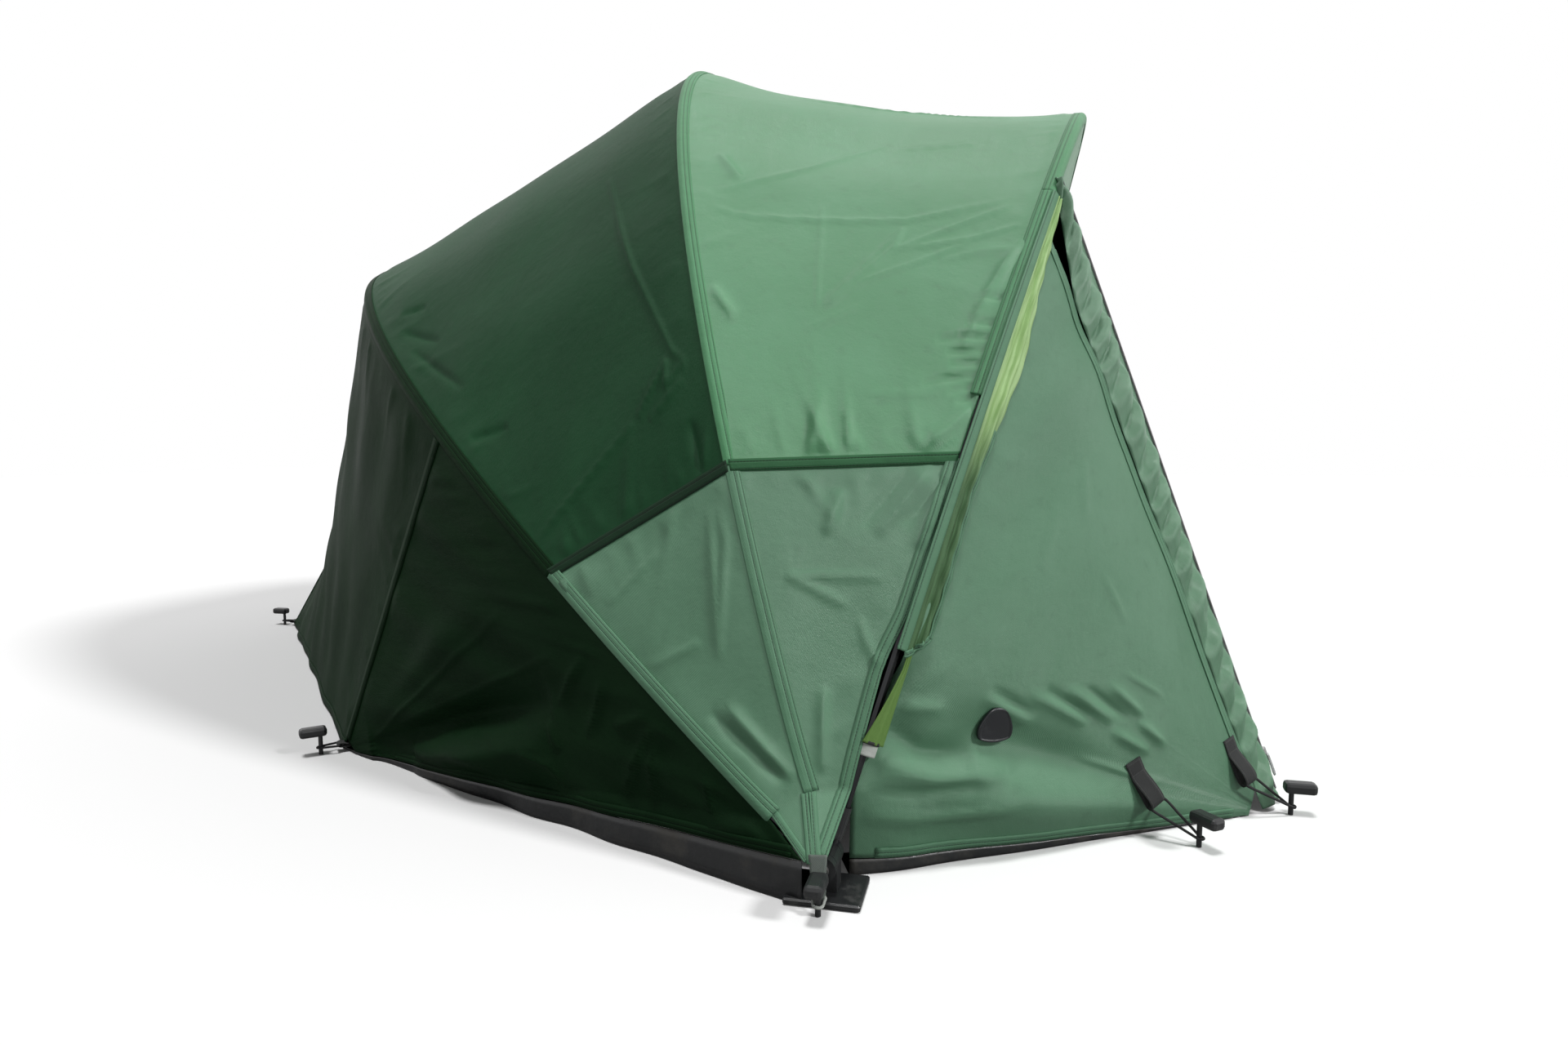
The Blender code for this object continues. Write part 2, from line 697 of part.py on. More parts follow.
sheet("front_brow", narrowed(seated(brow_face(), POLE_SEAT), SEAM_GAP), GREEN_CLOTH)
door_rows = narrowed(seated(door_face(), POLE_SEAT), DOOR_MARGIN)
door = sheet("front_door", door_rows, GREEN_CLOTH)
door_hinge = Vector((0, min(row[0].y for row in door_rows) - CLOTH / 2, max(row[0].z for row in door_rows)))
wings = {}
for label, side in SIDES.items():
    wings[side] = wing_rows(side)
    sheet(f"front_wing_{label}", wings[side], GREY_GREEN_CLOTH)
    strip = strip_rows(side)
    sheet(f"zip_strip_{label}", strip, GREEN_CLOTH)
    along, across, facing = zip_frame(side)
    at = strip[-1][-1] + along * SLIDER_HEIGHT + facing * above_cloth(SLIDER_THICKNESS)
    frame = Matrix((facing.cross(along), facing, along)).transposed().to_4x4()
    size = SLIDER_WIDTH, SLIDER_THICKNESS, SLIDER_LENGTH
    slider = block(f"zip_slider_{label}", at, size, STEEL, TENT, frame)
    round_edges(slider, PLASTIC_EDGE / 2)


# Pole sleeve: the loose flap that hangs from the front pole over the wing's edge

def sleeve_rows(side):
    """A strip over the wing, widest at two thirds of its height."""
    wing = wings[side]
    rows = []
    for station in range(SLEEVE_MOUTH, WING_TOP + 1):
        row = station + 1
        line = wing[row]
        run = (line[-1] - line[0]).length
        if station < SLEEVE_WIDEST:
            fullness = (station - SLEEVE_MOUTH) / (SLEEVE_WIDEST - SLEEVE_MOUTH)
        else:
            fullness = (WING_TOP - station) / (WING_TOP - SLEEVE_WIDEST)
        width = SLEEVE_NARROW + (SLEEVE_WIDTH - SLEEVE_NARROW) * fullness
        rows.append([on_grid(wing, row / (len(wing) - 1), share * width / run) for share in even_shares(4)])
    return lifted(rows, lambda i, j: above_cloth(CLOTH) + SLEEVE_EASE)


for label, side in SIDES.items():
    sheet(f"pole_sleeve_{label}", sleeve_rows(side), SLEEVE_CLOTH)


# Mud flaps: black strips that drop from the hems and turn in along the ground

def flap_rows(hem, tail=False):
    """Rows down from a hem line to the ground and in along it, mitred at the tail."""
    middle = ground(0, TAIL_PEG_BACK / 4)
    rows = []
    for number, place in enumerate(hem):
        run = hem[min(number + 1, len(hem) - 1)] - hem[max(number - 1, 0)]
        inward = Vector((-run.y, run.x, 0)).normalized()
        if inward.dot(middle - place) < 0:
            inward = -inward
        if tail and number == len(hem) - 1:
            inward = Vector((0, -1, 0))
        floor = Vector((place.x, place.y, FLAP_THICKNESS / 2))
        top = Vector((place.x, place.y, place.z - CLOTH / 2 - FLAP_DROP))
        rows.append([top, floor, floor + inward * FLAP_WIDTH])
    return rows


for label, side in SIDES.items():
    side_hem = side_rows(side)[0]
    back_hem = [row[-1] for row in back_rows(side)]
    rear_rows = flap_rows(side_hem[:-1] + back_hem[1:], True)
    sheet(f"mud_flap_rear_{label}", rear_rows, BLACK_PVC, FLAP_THICKNESS)
    sheet(f"mud_flap_front_{label}", flap_rows(wings[side][0]), BLACK_PVC, FLAP_THICKNESS)


# Pegs: a plastic head on a shank, standing just outside the hems

def peg(name, place, out_way):
    """The part of a peg above the ground, with its head turned away from the tent."""
    top = place + Vector((0, 0, PEG_SHANK_HEIGHT + PEG_HEAD_HEIGHT / 2))
    shank = rod(name, place, top, PEG_RADIUS, BLACK_PLASTIC, TENT, 12)
    turn = Matrix.Rotation(math.atan2(out_way.y, out_way.x), 4, "Z")
    head = block(name + "_head", top + out_way * PEG_HEAD_SHIFT,
                 (PEG_HEAD_LENGTH, PEG_HEAD_WIDTH, PEG_HEAD_HEIGHT), turn=turn)
    round_edges(head, PEG_HEAD_ROUND, 2)
    combine(shank, head, "UNION")


# Ties: elastic loops round the pegs, some of them on a webbing tab that is sewn to the cloth

LOOP_POINTS = 6
TAB_ROWS = 4
TIE_OVERLAP_SHARE = 0.4
TIE_SPREAD_SHARE = 0.3
TAB_PEG_SHARE = 0.74
# Where the tabs' upper and lower ends and the badge lie on the wing, up it and along it
HEM_TAB_SHARES = ((0.27, 0.63), (0.12, 0.70))
CORNER_TAB_SHARES = ((0.86, 0.885), (0.76, 0.94))
BADGE_SHARES = (0.235, 0.27)
BADGE_STEPS = (-1.0, -0.5, 0.0, 0.5, 1.0)
BADGE_ROUND_SHARE = 0.38
BADGE_TAPER_SHARE = 0.22


def plan_way(way):
    return Vector((way.x, way.y, 0)).normalized()


def patch(rows, shares, up, across, steps):
    """Places on a grid of points, at flat distances across and up from the place at two shares."""
    centre = on_grid(rows, *shares)
    step = 1 / (4 * len(rows))
    i_way = (on_grid(rows, shares[0] + step, shares[1]) - centre) / step
    j_way = (on_grid(rows, shares[0], shares[1] + step) - centre) / step
    spread = i_way.dot(i_way) * j_way.dot(j_way) - i_way.dot(j_way) ** 2
    places = []
    for line in steps:
        placed = []
        for x, y in line:
            way = across * x + up * y
            i = (way.dot(i_way) * j_way.dot(j_way) - way.dot(j_way) * i_way.dot(j_way)) / spread
            j = (way.dot(j_way) * i_way.dot(i_way) - way.dot(i_way) * i_way.dot(j_way)) / spread
            placed.append(on_grid(rows, shares[0] + i, shares[1] + j))
        places.append(placed)
    return places


def surface_ways(rows, high, low):
    """The way from one place on a grid up to another, and the way across it in the surface."""
    bottom = on_grid(rows, *low)
    up = (on_grid(rows, *high) - bottom).normalized()
    beside = on_grid(rows, low[0], high[1]) - bottom
    return up, (beside - up * beside.dot(up)).normalized()


def loop_path(start, spread, post):
    """From one side of start, round the far side of a peg's shank and back to its other side."""
    radius = PEG_RADIUS + GAP + ELASTIC_RADIUS
    away = plan_way(post - start)
    across = Vector((-away.y, away.x, 0))
    if spread.dot(across) < 0:
        across = -across
    centre = Vector((post.x, post.y, LOOP_HEIGHT))
    bend = []
    for number in range(LOOP_POINTS + 1):
        angle = math.pi * number / LOOP_POINTS
        bend.append(centre + across * (radius * math.cos(angle)) + away * (radius * math.sin(angle)))
    return [start + spread] + bend + [start - spread]


def tabbed_tie(name, tab_rows, post, skin):
    """A webbing tab with an elastic loop from its last row round a peg."""
    tab = sheet(name, tab_rows, skin, WEBBING)
    first, last = tab_rows[-1][0], tab_rows[-1][-1]
    before = tab_rows[-2][0].lerp(tab_rows[-2][-1], 0.5)
    middle = first.lerp(last, 0.5)
    start = middle.lerp(before, TIE_OVERLAP_SHARE)
    spread = (first - last) * TIE_SPREAD_SHARE
    elastic = tube(name + "_elastic", loop_path(start, spread, post), ELASTIC_RADIUS, None, 1, CUTTERS)
    combine(tab, elastic, "UNION")


def wing_tab(side, shares, out_way):
    """A webbing tab sewn on the wing, whose lower end stands off the cloth."""
    half = WEBBING_WIDTH / 2
    up, across = surface_ways(wings[side], *shares)
    steps = [[(half * x, -TAB_LENGTH * share) for x in (-1, 0, 1)] for share in even_shares(TAB_ROWS)]
    rows = lifted(patch(wings[side], shares[0], up, across, steps),
                  lambda i, j: above_cloth(WEBBING) + PATCH_EASE)
    return rows + [[place + out_way * TAB_LIFT - up * TAB_TAIL for place in rows[-1]]]


def hub_strip(side, post):
    """A strip from the cloth's tip on the middle rib, out past the bolt's head and down to the hub peg."""
    low, high = MIDDLE.run(side, 0, 1)
    slant = (REAR.run(side, 0, 0)[0] - FRONT.run(side, 0, 0)[0]).normalized()
    facing = slant.cross(high - low).normalized()
    seat = (POLE_SEAT + above_cloth(WEBBING)) * facing * (1 if facing.x * side > 0 else -1)
    bolt_end = abs(REAR.foot(side).x) + EYE_WIDTH / 2 + RUNNING_GAP + BOLT_HEAD_HEIGHT
    bend = Vector((side * (bolt_end + HUB_TIE_CLEARANCE + WEBBING / 2), HUB_Y + HUB_TIE_BEND_BACK,
                   HUB_TIE_BEND_HEIGHT))
    end = Vector((post.x - side * HUB_TIE_END, post.y, LOOP_HEIGHT))
    back = Vector((0, 1, 0))
    rows = []
    steps = (low.lerp(high, 0.5) + seat, slant), (low + seat, slant), (bend, back), (end, back)
    for place, across in steps:
        rows.append([place + across * (WEBBING_WIDTH / 2 * x) for x in (-1, 0, 1)])
    return rows


for label, side in SIDES.items():
    # The side peg holds the back corner
    corner = ground(side * SIDE_PEG_OUT, SIDE_PEG_BACK)
    out_way = plan_way(Vector((side * SIDE_PEG_OUT, SIDE_PEG_BACK, 0)))
    post = corner + out_way * PEG_STANDOFF
    peg(f"side_peg_{label}", post, out_way)
    spread = Vector((-out_way.y, out_way.x, 0)) * (WEBBING_WIDTH / 2)
    start = corner + out_way * SIDE_TIE_START + Vector((0, 0, LOOP_HEIGHT))
    tube(f"side_tie_{label}", loop_path(start, spread, post), ELASTIC_RADIUS, BLACK_WEBBING, 1)

    # The hub peg stands beside the hub, and a strip from the cloth's tip comes down to it
    out_way = Vector((side, 0, 0))
    post = Vector((MIDDLE.foot(side).x, HUB_Y, 0)) + out_way * HUB_PEG_OUT
    peg(f"hub_peg_{label}", post, out_way)
    tabbed_tie(f"hub_tie_{label}", hub_strip(side, post), post, GREY_WEBBING)

    # One front peg holds the middle of the wing's hem and another its corner
    hem_way = (wings[side][0][-1] - wings[side][0][0]).normalized()
    out_way = plan_way(Vector((side * abs(hem_way.y), -abs(hem_way.x), 0)))
    at = on_grid(wings[side], 0.0, TAB_PEG_SHARE)
    post = Vector((at.x, at.y, 0)) + out_way * PEG_STANDOFF
    peg(f"tab_peg_{label}", post, out_way)
    tabbed_tie(f"tab_tie_{label}", wing_tab(side, HEM_TAB_SHARES, out_way), post, BLACK_WEBBING)

    out_way = Vector((0, -1, 0))
    post = ground(side * WING_PEG_OUT, -WING_PEG_FRONT) + out_way * PEG_STANDOFF
    peg(f"wing_peg_{label}", post, out_way)
    tabbed_tie(f"corner_tie_{label}", wing_tab(side, CORNER_TAB_SHARES, out_way), post, BLACK_WEBBING)

out_way = Vector((0, 1, 0))
post = ground(0, TAIL_PEG_BACK) + out_way * PEG_STANDOFF
peg("tail_peg", post, out_way)
start = ground(0, TAIL_PEG_BACK, LOOP_HEIGHT) + out_way * TAIL_TIE_START
loop = loop_path(start, Vector((WEBBING_WIDTH / 2, 0, 0)), post)
tube("tail_tie", loop, ELASTIC_RADIUS, BLACK_WEBBING, 1)


# Badge: a bare rounded patch on the left wing

up = (on_grid(wings[LEFT], 1.0, BADGE_SHARES[1]) - on_grid(wings[LEFT], *BADGE_SHARES)).normalized()
across = on_grid(wings[LEFT], BADGE_SHARES[0], 1.0) - on_grid(wings[LEFT], *BADGE_SHARES)
across = (across - up * across.dot(up)).normalized()
outline = []
for v in BADGE_STEPS:
    half_width = BADGE_HALF_WIDTH * (1 - BADGE_TAPER_SHARE * v) * math.sqrt(1 - BADGE_ROUND_SHARE * v * v)
    outline.append([(half_width * u, BADGE_HALF_HEIGHT * v * math.sqrt(1 - BADGE_ROUND_SHARE * u * u))
                    for u in BADGE_STEPS])
sheet("badge", lifted(patch(wings[LEFT], BADGE_SHARES, up, across, outline),
                      lambda i, j: above_cloth(BADGE_THICKNESS) + BADGE_EASE), RUBBER, BADGE_THICKNESS)


# Each rib and the door turn about an empty on their joint's axis

def turned_about(name, place, moving):
    """An empty at a joint, with the pieces that it moves as its children."""
    axis = bpy.data.objects.new(name, None)
    axis.location = place
    TENT.objects.link(axis)
    for thing in moving:
        thing.parent = axis
        thing.matrix_parent_inverse = Matrix.Translation(-place)


FRONT_PIECES = ("front_knuckle", "front_leg", "front_crown", "front_wing", "zip_strip", "front_brow",
                "pole_sleeve", "mud_flap_front", "tab_tie", "corner_tie", "badge")
REAR_PIECES = ("rear_knuckle", "rear_leg", "rear_crown", "side_panel", "back_panel", "mud_flap_rear",
               "side_tie", "tail_tie")


def pieces(names):
    return [thing for thing in TENT.objects if thing.name.startswith(names)]


HUB_AXIS = Vector((0, HUB_Y, HUB_HEIGHT))
turned_about("front_rib_axis", HUB_AXIS, pieces(FRONT_PIECES))
turned_about("rear_rib_axis", HUB_AXIS, pieces(REAR_PIECES))
turned_about("door_axis", door_hinge, [door])
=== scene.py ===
"""The looks of the bivvy tent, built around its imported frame. Metres, +Z up, front at -Y."""
import math

import bpy
import numpy as np
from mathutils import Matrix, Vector


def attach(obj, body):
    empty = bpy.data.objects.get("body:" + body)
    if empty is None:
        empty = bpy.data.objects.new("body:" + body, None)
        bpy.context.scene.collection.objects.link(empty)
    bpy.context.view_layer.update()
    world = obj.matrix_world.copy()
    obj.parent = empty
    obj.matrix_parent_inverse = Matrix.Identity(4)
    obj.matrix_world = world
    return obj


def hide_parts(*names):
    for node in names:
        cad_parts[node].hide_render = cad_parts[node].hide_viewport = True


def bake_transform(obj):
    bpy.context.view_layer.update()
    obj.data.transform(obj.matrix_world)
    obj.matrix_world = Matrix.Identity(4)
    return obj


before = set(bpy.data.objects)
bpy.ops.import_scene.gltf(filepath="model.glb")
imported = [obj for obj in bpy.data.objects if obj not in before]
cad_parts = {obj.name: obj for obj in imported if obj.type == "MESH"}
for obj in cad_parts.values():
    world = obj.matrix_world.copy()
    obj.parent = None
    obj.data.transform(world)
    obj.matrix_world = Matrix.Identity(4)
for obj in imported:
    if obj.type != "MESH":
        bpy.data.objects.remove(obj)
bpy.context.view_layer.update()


# Camera
# The photograph was taken from the left, near the ground, with a wide lens close to the cloth.

CAMERA_PLACE = Vector((-2.2648, -0.8120, 0.5264))
CAMERA_AHEAD = Vector((0.96946, 0.22996, -0.08530))
CAMERA_LENS_MM = 21.37
SENSOR_WIDTH_MM = 36.0

scene = bpy.context.scene
scene.view_settings.view_transform = "Standard"
lens = bpy.data.cameras.new("camera")
lens.lens = CAMERA_LENS_MM
lens.sensor_width = SENSOR_WIDTH_MM
camera = bpy.data.objects.new("camera", lens)
camera.location = CAMERA_PLACE
camera.rotation_euler = CAMERA_AHEAD.to_track_quat("-Z", "Y").to_euler()
scene.collection.objects.link(camera)
scene.camera = camera


# Floor and light
# A pale floor and a white surround. A broad soft sun stands in front of the tent, as in the photograph,
# and leaves its back in shade. A weaker and broader light overhead gives the stretched roof its sheen.

FLOOR_HALF = 14.0
FLOOR_DROP = 0.0006
FLOOR_COLOUR = (0.92, 0.92, 0.92)
FLOOR_TO_CLOTH = (0.36, 0.36, 0.36)
FLOOR_GLOW = 0.07
GLOW_FROM = 0.9
GLOW_FULL = 1.7
SURROUND_STRENGTH = 0.15
LAMPS = (("sun", (-0.18, -0.80, 0.55), 2.1, 9.0), ("overhead", (-0.16, 0.02, 0.985), 1.7, 12.0))


def link_piece(name, data):
    thing = bpy.data.objects.new(name, data)
    scene.collection.objects.link(thing)
    return thing


class Wire:
    """An output in a material's nodes. Sums and products of wires and numbers add Math nodes."""

    def __init__(self, tree, socket=None):
        self.tree = tree
        self.socket = socket

    def add(self, kind, settings, values, output=0):
        """Any node of the same tree, with its settings made before its sockets are filled."""
        node = self.tree.nodes.new(kind)
        for name, setting in settings.items():
            setattr(node, name, setting)
        for name, value in values.items():
            if isinstance(value, Wire):
                self.tree.links.new(value.socket, node.inputs[name])
            else:
                node.inputs[name].default_value = value
        return Wire(self.tree, node.outputs[output])

    def math(self, operation, first, second=0.0):
        return self.add("ShaderNodeMath", {"operation": operation}, {0: first, 1: second})

    def __add__(self, other):
        return self.math("ADD", self, other)

    def __sub__(self, other):
        return self.math("SUBTRACT", self, other)

    def __rsub__(self, other):
        return self.math("SUBTRACT", other, self)

    def __mul__(self, other):
        return self.math("MULTIPLY", self, other)

    __radd__ = __add__
    __rmul__ = __mul__

    def into(self, node, name):
        self.tree.links.new(self.socket, node.inputs[name])


world = bpy.data.worlds.new("surround")
scene.world = world
world.use_nodes = True
rays = Wire(world.node_tree)
kinds = [rays.add("ShaderNodeLightPath", {}, {}, name) for name in
         ("Is Camera Ray", "Is Glossy Ray", "Is Transmission Ray")]
seen = rays.math("MINIMUM", kinds[0] + kinds[1] + kinds[2], 1.0)
background = world.node_tree.nodes["Background"]
background.inputs["Color"].default_value = (1, 1, 1, 1)
(seen * (1 - SURROUND_STRENGTH) + SURROUND_STRENGTH).into(background, "Strength")

floor_mesh = bpy.data.meshes.new("floor")
floor_mesh.from_pydata([(x * FLOOR_HALF, y * FLOOR_HALF, -FLOOR_DROP)
                        for x, y in ((-1, -1), (1, -1), (1, 1), (-1, 1))], [], [(0, 1, 2, 3)])
floor = link_piece("floor", floor_mesh)
floor_paint = bpy.data.materials.new("floor_paint")
floor_paint.use_nodes = True
floor_surface = floor_paint.node_tree.nodes["Principled BSDF"]
floor_surface.inputs["Roughness"].default_value = 0.9
floor_surface.inputs["Specular IOR Level"].default_value = 0.1
floor_surface.inputs["Emission Color"].default_value = (1, 1, 1, 1)
floor_rays = Wire(floor_paint.node_tree)
floor_place = floor_rays.add("ShaderNodeTexCoord", {}, {}, "Object")
from_tent = floor_rays.add("ShaderNodeVectorMath", {"operation": "LENGTH"}, {0: floor_place}, "Value")
glow = floor_rays.add("ShaderNodeMapRange", {"interpolation_type": "SMOOTHSTEP"},
                      {"Value": from_tent, "From Min": GLOW_FROM, "From Max": GLOW_FULL})
seen_straight = floor_rays.add("ShaderNodeLightPath", {}, {}, "Is Camera Ray")
(seen_straight * glow * FLOOR_GLOW).into(floor_surface, "Emission Strength")
# The cloth gets back only what grass would give it
floor_rays.add("ShaderNodeMix", {"data_type": "RGBA"},
               {0: seen_straight, 6: (*FLOOR_TO_CLOTH, 1), 7: (*FLOOR_COLOUR, 1)}, 2).into(
    floor_surface, "Base Color")
floor_mesh.materials.append(floor_paint)

for lamp_name, lamp_from, strength, spread in LAMPS:
    lamp = bpy.data.lights.new(lamp_name, "SUN")
    lamp.energy = strength
    lamp.angle = math.radians(spread)
    link_piece(lamp_name, lamp).rotation_euler = (-Vector(lamp_from)).to_track_quat("-Z", "Y").to_euler()


# Hub blocks, knuckles, bolts and pegs
# The hub blocks, the knuckles that turn on them and the peg heads are moulded in black nylon, with
# a fine grain from the mould. Their bolts are zinc-plated steel. Their solids keep their own shapes.

PLASTIC_COLOUR = (0.016, 0.017, 0.018)
PLASTIC_WORN = (0.050, 0.050, 0.048)
STEEL_COLOUR = (0.56, 0.57, 0.58)
STEEL_DULL = (0.36, 0.35, 0.33)
# A finish's marks: the scale, detail and roughness of their noise, from where to where it shows, its share
# of the colour, the roughness and what it adds, then the grain's scale and detail, its depth and strength
NYLON_MARKS = ((45.0, 4.0, 0.5), (0.52, 0.72), 0.6, (0.34, 0.25), (900.0, 2.0), (0.0004, 0.5))
ZINC_MARKS = ((90.0, 3.0, 0.5), (0.45, 0.70), 1.0, (0.25, 0.20), (1400.0, 2.0), (0.0002, 0.3))


def new_finish(name, roughness, fixed=None):
    """A material with its Principled node, the number of each fixed socket set, and a first wire."""
    made = bpy.data.materials.new(name)
    made.use_nodes = True
    surface = made.node_tree.nodes["Principled BSDF"]
    surface.inputs["Roughness"].default_value = roughness
    for socket, value in (fixed or {}).items():
        surface.inputs[socket].default_value = value
    return made, surface, Wire(made.node_tree)


def noise(wire, place, scale, detail=2.0, roughness=0.5):
    return wire.add("ShaderNodeTexNoise", {}, {"Vector": place, "Scale": scale, "Detail": detail,
                                                "Roughness": roughness})


def mixed(wire, factor, first, second):
    """A colour between two colours."""
    return wire.add("ShaderNodeMix", {"data_type": "RGBA"},
                    {0: factor, 6: first if isinstance(first, Wire) else (*first, 1),
                     7: second if isinstance(second, Wire) else (*second, 1)}, 2)


def step(wire, value, low, high):
    """0 below low, 1 above high and smooth between them."""
    return wire.add("ShaderNodeMapRange", {"interpolation_type": "SMOOTHSTEP"},
                    {"Value": value, "From Min": low, "From Max": high})


def bump(wire, surface, height, distance, strength=1.0):
    wire.add("ShaderNodeBump", {}, {"Height": height, "Distance": distance,
                                    "Strength": strength}).into(surface, "Normal")


def marked(name, colour, worn, marks, metallic=0.0):
    """A hard finish with rubbed, dull or dusty places and a fine grain."""
    spread, limits, share, rough, grain, relief = marks
    made, surface, wire = new_finish(name, rough[0], {"Metallic": metallic})
    place = wire.add("ShaderNodeTexCoord", {}, {}, "Object")
    mask = step(wire, noise(wire, place, *spread), *limits)
    mixed(wire, mask * share, colour, worn).into(surface, "Base Color")
    (rough[0] + mask * rough[1]).into(surface, "Roughness")
    bump(wire, surface, noise(wire, place, *grain), *relief)
    return made


def refinish(starts, skin):
    """Gives the nodes whose names start so a better material in their own slots."""
    for node_name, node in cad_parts.items():
        if node_name.startswith(starts):
            for place in node.material_slots:
                place.material = skin


zinc_steel = marked("zinc_steel", STEEL_COLOUR, STEEL_DULL, ZINC_MARKS, 1.0)
refinish(("hub_left", "hub_right", "rear_knuckle", "front_knuckle", "side_peg", "hub_peg", "tab_peg",
          "wing_peg", "tail_peg"), marked("black_nylon", PLASTIC_COLOUR, PLASTIC_WORN, NYLON_MARKS))
refinish("hub_bolt", zinc_steel)


# Poles
# Each hoop is a thin alloy tube with a black coat, in two legs and a crown. The crown's ends push
# into a ferrule on each leg. The hoops' centre lines carry all the cloth, so they are laid out here.

POLE_COLOUR = (0.020, 0.021, 0.023)
POLE_RUBBED = (0.090, 0.090, 0.090)
POLE_MARKS = ((30.0, 5.0, 0.7), (0.60, 0.72), 1.0, (0.28, 0.2), (700.0, 2.0), (0.0002, 0.3))
HUB_Y = -0.6185
HUB_HEIGHT = 0.040
CLOTH_START_REACH = 0.080
# Stations on a pole, by number: the felled seam, the back's corner, the tops of wing and door, the crown
LOWER_STATIONS = 7
CORNER = 11
WING_TOP = 12
DOOR_TOP = 13
CROWN = 21
FINE_STEPS = 400


class Hoop:
    """The centre line of a pole, whose stations run from 0, where the cloth starts, to the crown."""

    def __init__(self, half_span, reach, lean, side_power, crown_power, marks):
        self.half_span = half_span
        self.reach = reach
        self.lean = math.radians(lean)
        self.side_power = side_power
        self.crown_power = crown_power
        turn = math.asin((CLOTH_START_REACH / reach) ** (crown_power / 2))
        self.turns = np.array([turn])
        self.stations = np.array([0.0])
        for end, station in marks:
            turns = np.linspace(turn, math.radians(end), FINE_STEPS)
            steps = np.linalg.norm(np.diff(self.on_turn(turns, -1), axis=0), axis=1)
            run = np.concatenate([[0], np.cumsum(steps)]) / steps.sum()
            first = self.stations[-1]
            self.turns = np.concatenate([self.turns, turns[1:]])
            self.stations = np.concatenate([self.stations, first + (station - first) * run[1:]])
            turn = math.radians(end)

    def out_at(self, across, reach, lean):
        return np.stack(np.broadcast_arrays(across, HUB_Y + reach * math.sin(lean),
                                            HUB_HEIGHT + reach * math.cos(lean)), axis=-1)

    def on_turn(self, turns, side):
        across = side * self.half_span * np.abs(np.cos(turns)) ** (2 / self.side_power)
        return self.out_at(across, self.reach * np.sin(turns) ** (2 / self.crown_power), self.lean)

    def at(self, stations, side=-1):
        """Places on the pole; past the crown the stations go on down the other side."""
        past = stations > CROWN
        turns = np.interp(np.where(past, 2 * CROWN - stations, stations), self.stations, self.turns)
        return self.on_turn(turns, np.where(past, -side, side))


REAR = Hoop(half_span=1.252, reach=1.471, lean=53.0, side_power=2.97, crown_power=1.10,
            marks=((33.9, LOWER_STATIONS), (46.6, CORNER), (90.0, CROWN)))
MIDDLE = Hoop(half_span=1.230, reach=1.353, lean=18.8, side_power=2.53, crown_power=1.35,
              marks=((29.8, LOWER_STATIONS), (90.0, CROWN)))
FRONT = Hoop(half_span=1.208, reach=1.173, lean=-16.3, side_power=2.69, crown_power=1.43,
             marks=((32.1, LOWER_STATIONS), (51.6, WING_TOP), (57.0, DOOR_TOP), (90.0, CROWN)))
SIDES = {"left": -1, "right": 1}

refinish(("rear_leg", "middle_leg", "front_leg", "rear_crown", "middle_crown", "front_crown"),
         marked("black_pole_coat", POLE_COLOUR, POLE_RUBBED, POLE_MARKS, 0.5))


# Roof cloth
# Two upper sheets of coated polyester are stretched between the hoops, bright green outside; the rear one is
# painted far darker as shade. Under a felled seam a heavier grey-green sheet runs down to the hub on each
# side.

CLOTH = 0.0008
ROOF_SEAT = 0.0090
LOWER_SEAT = 0.0082
SEAM_GAP = 0.0020
ROOF_FRONT_SAG = 0.035
ROOF_REAR_SAG = 0.008
# The share of the lower front sheet that stays clear of the front pole, up to a station where it meets it
FREE_SHARE = 0.07
FREE_FROM = 2.3
FREE_TO = 3.7
TIP_RUN = 0.075
CELL = 0.008
FINE_CELL = 0.0055
# Each cloth's colour, with its colour where it has faded
ROOF_GREEN = (0.058, 0.225, 0.092), (0.082, 0.268, 0.126)
# The rear bay is the front bay's green cloth, painted far darker as shade
REAR_SHADED_GREEN = (0.009, 0.048, 0.018), (0.016, 0.068, 0.028)
LOWER_GREEN = (0.084, 0.212, 0.118), (0.112, 0.250, 0.150)
WEAVE_PITCH = 0.0016
INSIDE = np.array((0.0, HUB_Y + 0.45, HUB_HEIGHT))
STITCH_PITCH = 0.0042
STITCH_HALF_WIDTH = 0.0007
STITCH_PART = 0.72
# Waves by length and height, and seam puckers by spacing, reach, width and height
ROOF_WAVES = (0.34, 0.0024)
ROOF_END_PUCKERS = (0.028, 0.075, 0.0085, 0.0068)
ROOF_MIDDLE_PUCKERS = (0.075, 0.050, 0.010, 0.0032)
ROOF_OUTER_PUCKERS = (0.055, 0.060, 0.010, 0.0040)
LOWER_WAVES = (0.22, 0.0022)
LOWER_TOP_PUCKERS = (0.034, 0.050, 0.009, 0.0048)
LOWER_SIDE_PUCKERS = (0.050, 0.050, 0.010, 0.0034)
# Pieces of these kinds stand for the solid that they are named after
STAND_INS = ("cloth", "pvc", "tab", "patch")
INSIDE_HUB = np.array((0.0, HUB_Y, HUB_HEIGHT))
# Each side's cloth narrows to a tip that hangs over the outside of its hub block
TIP_OUT = 1.2685
TIP_BACK = 0.008
TIP_HEIGHT = 0.052
TIP_HALF_WIDTH = 0.011

grids = {}


def spaced(length, cell):
    """Shares from 0 to 1 about a cell apart."""
    return np.linspace(0, 1, max(2, int(round(length / cell)) + 1))


def length_of(line):
    return np.linalg.norm(np.diff(line, axis=0), axis=1).sum()


def between(edge_a, edge_b, shares):
    """A grid of places on straight lines from edge_a to edge_b."""
    return edge_a[:, None] + (edge_b - edge_a)[:, None] * np.asarray(shares)[None, :, None]


def unit(ways):
    return ways / np.maximum(np.linalg.norm(ways, axis=-1, keepdims=True), 1e-12)


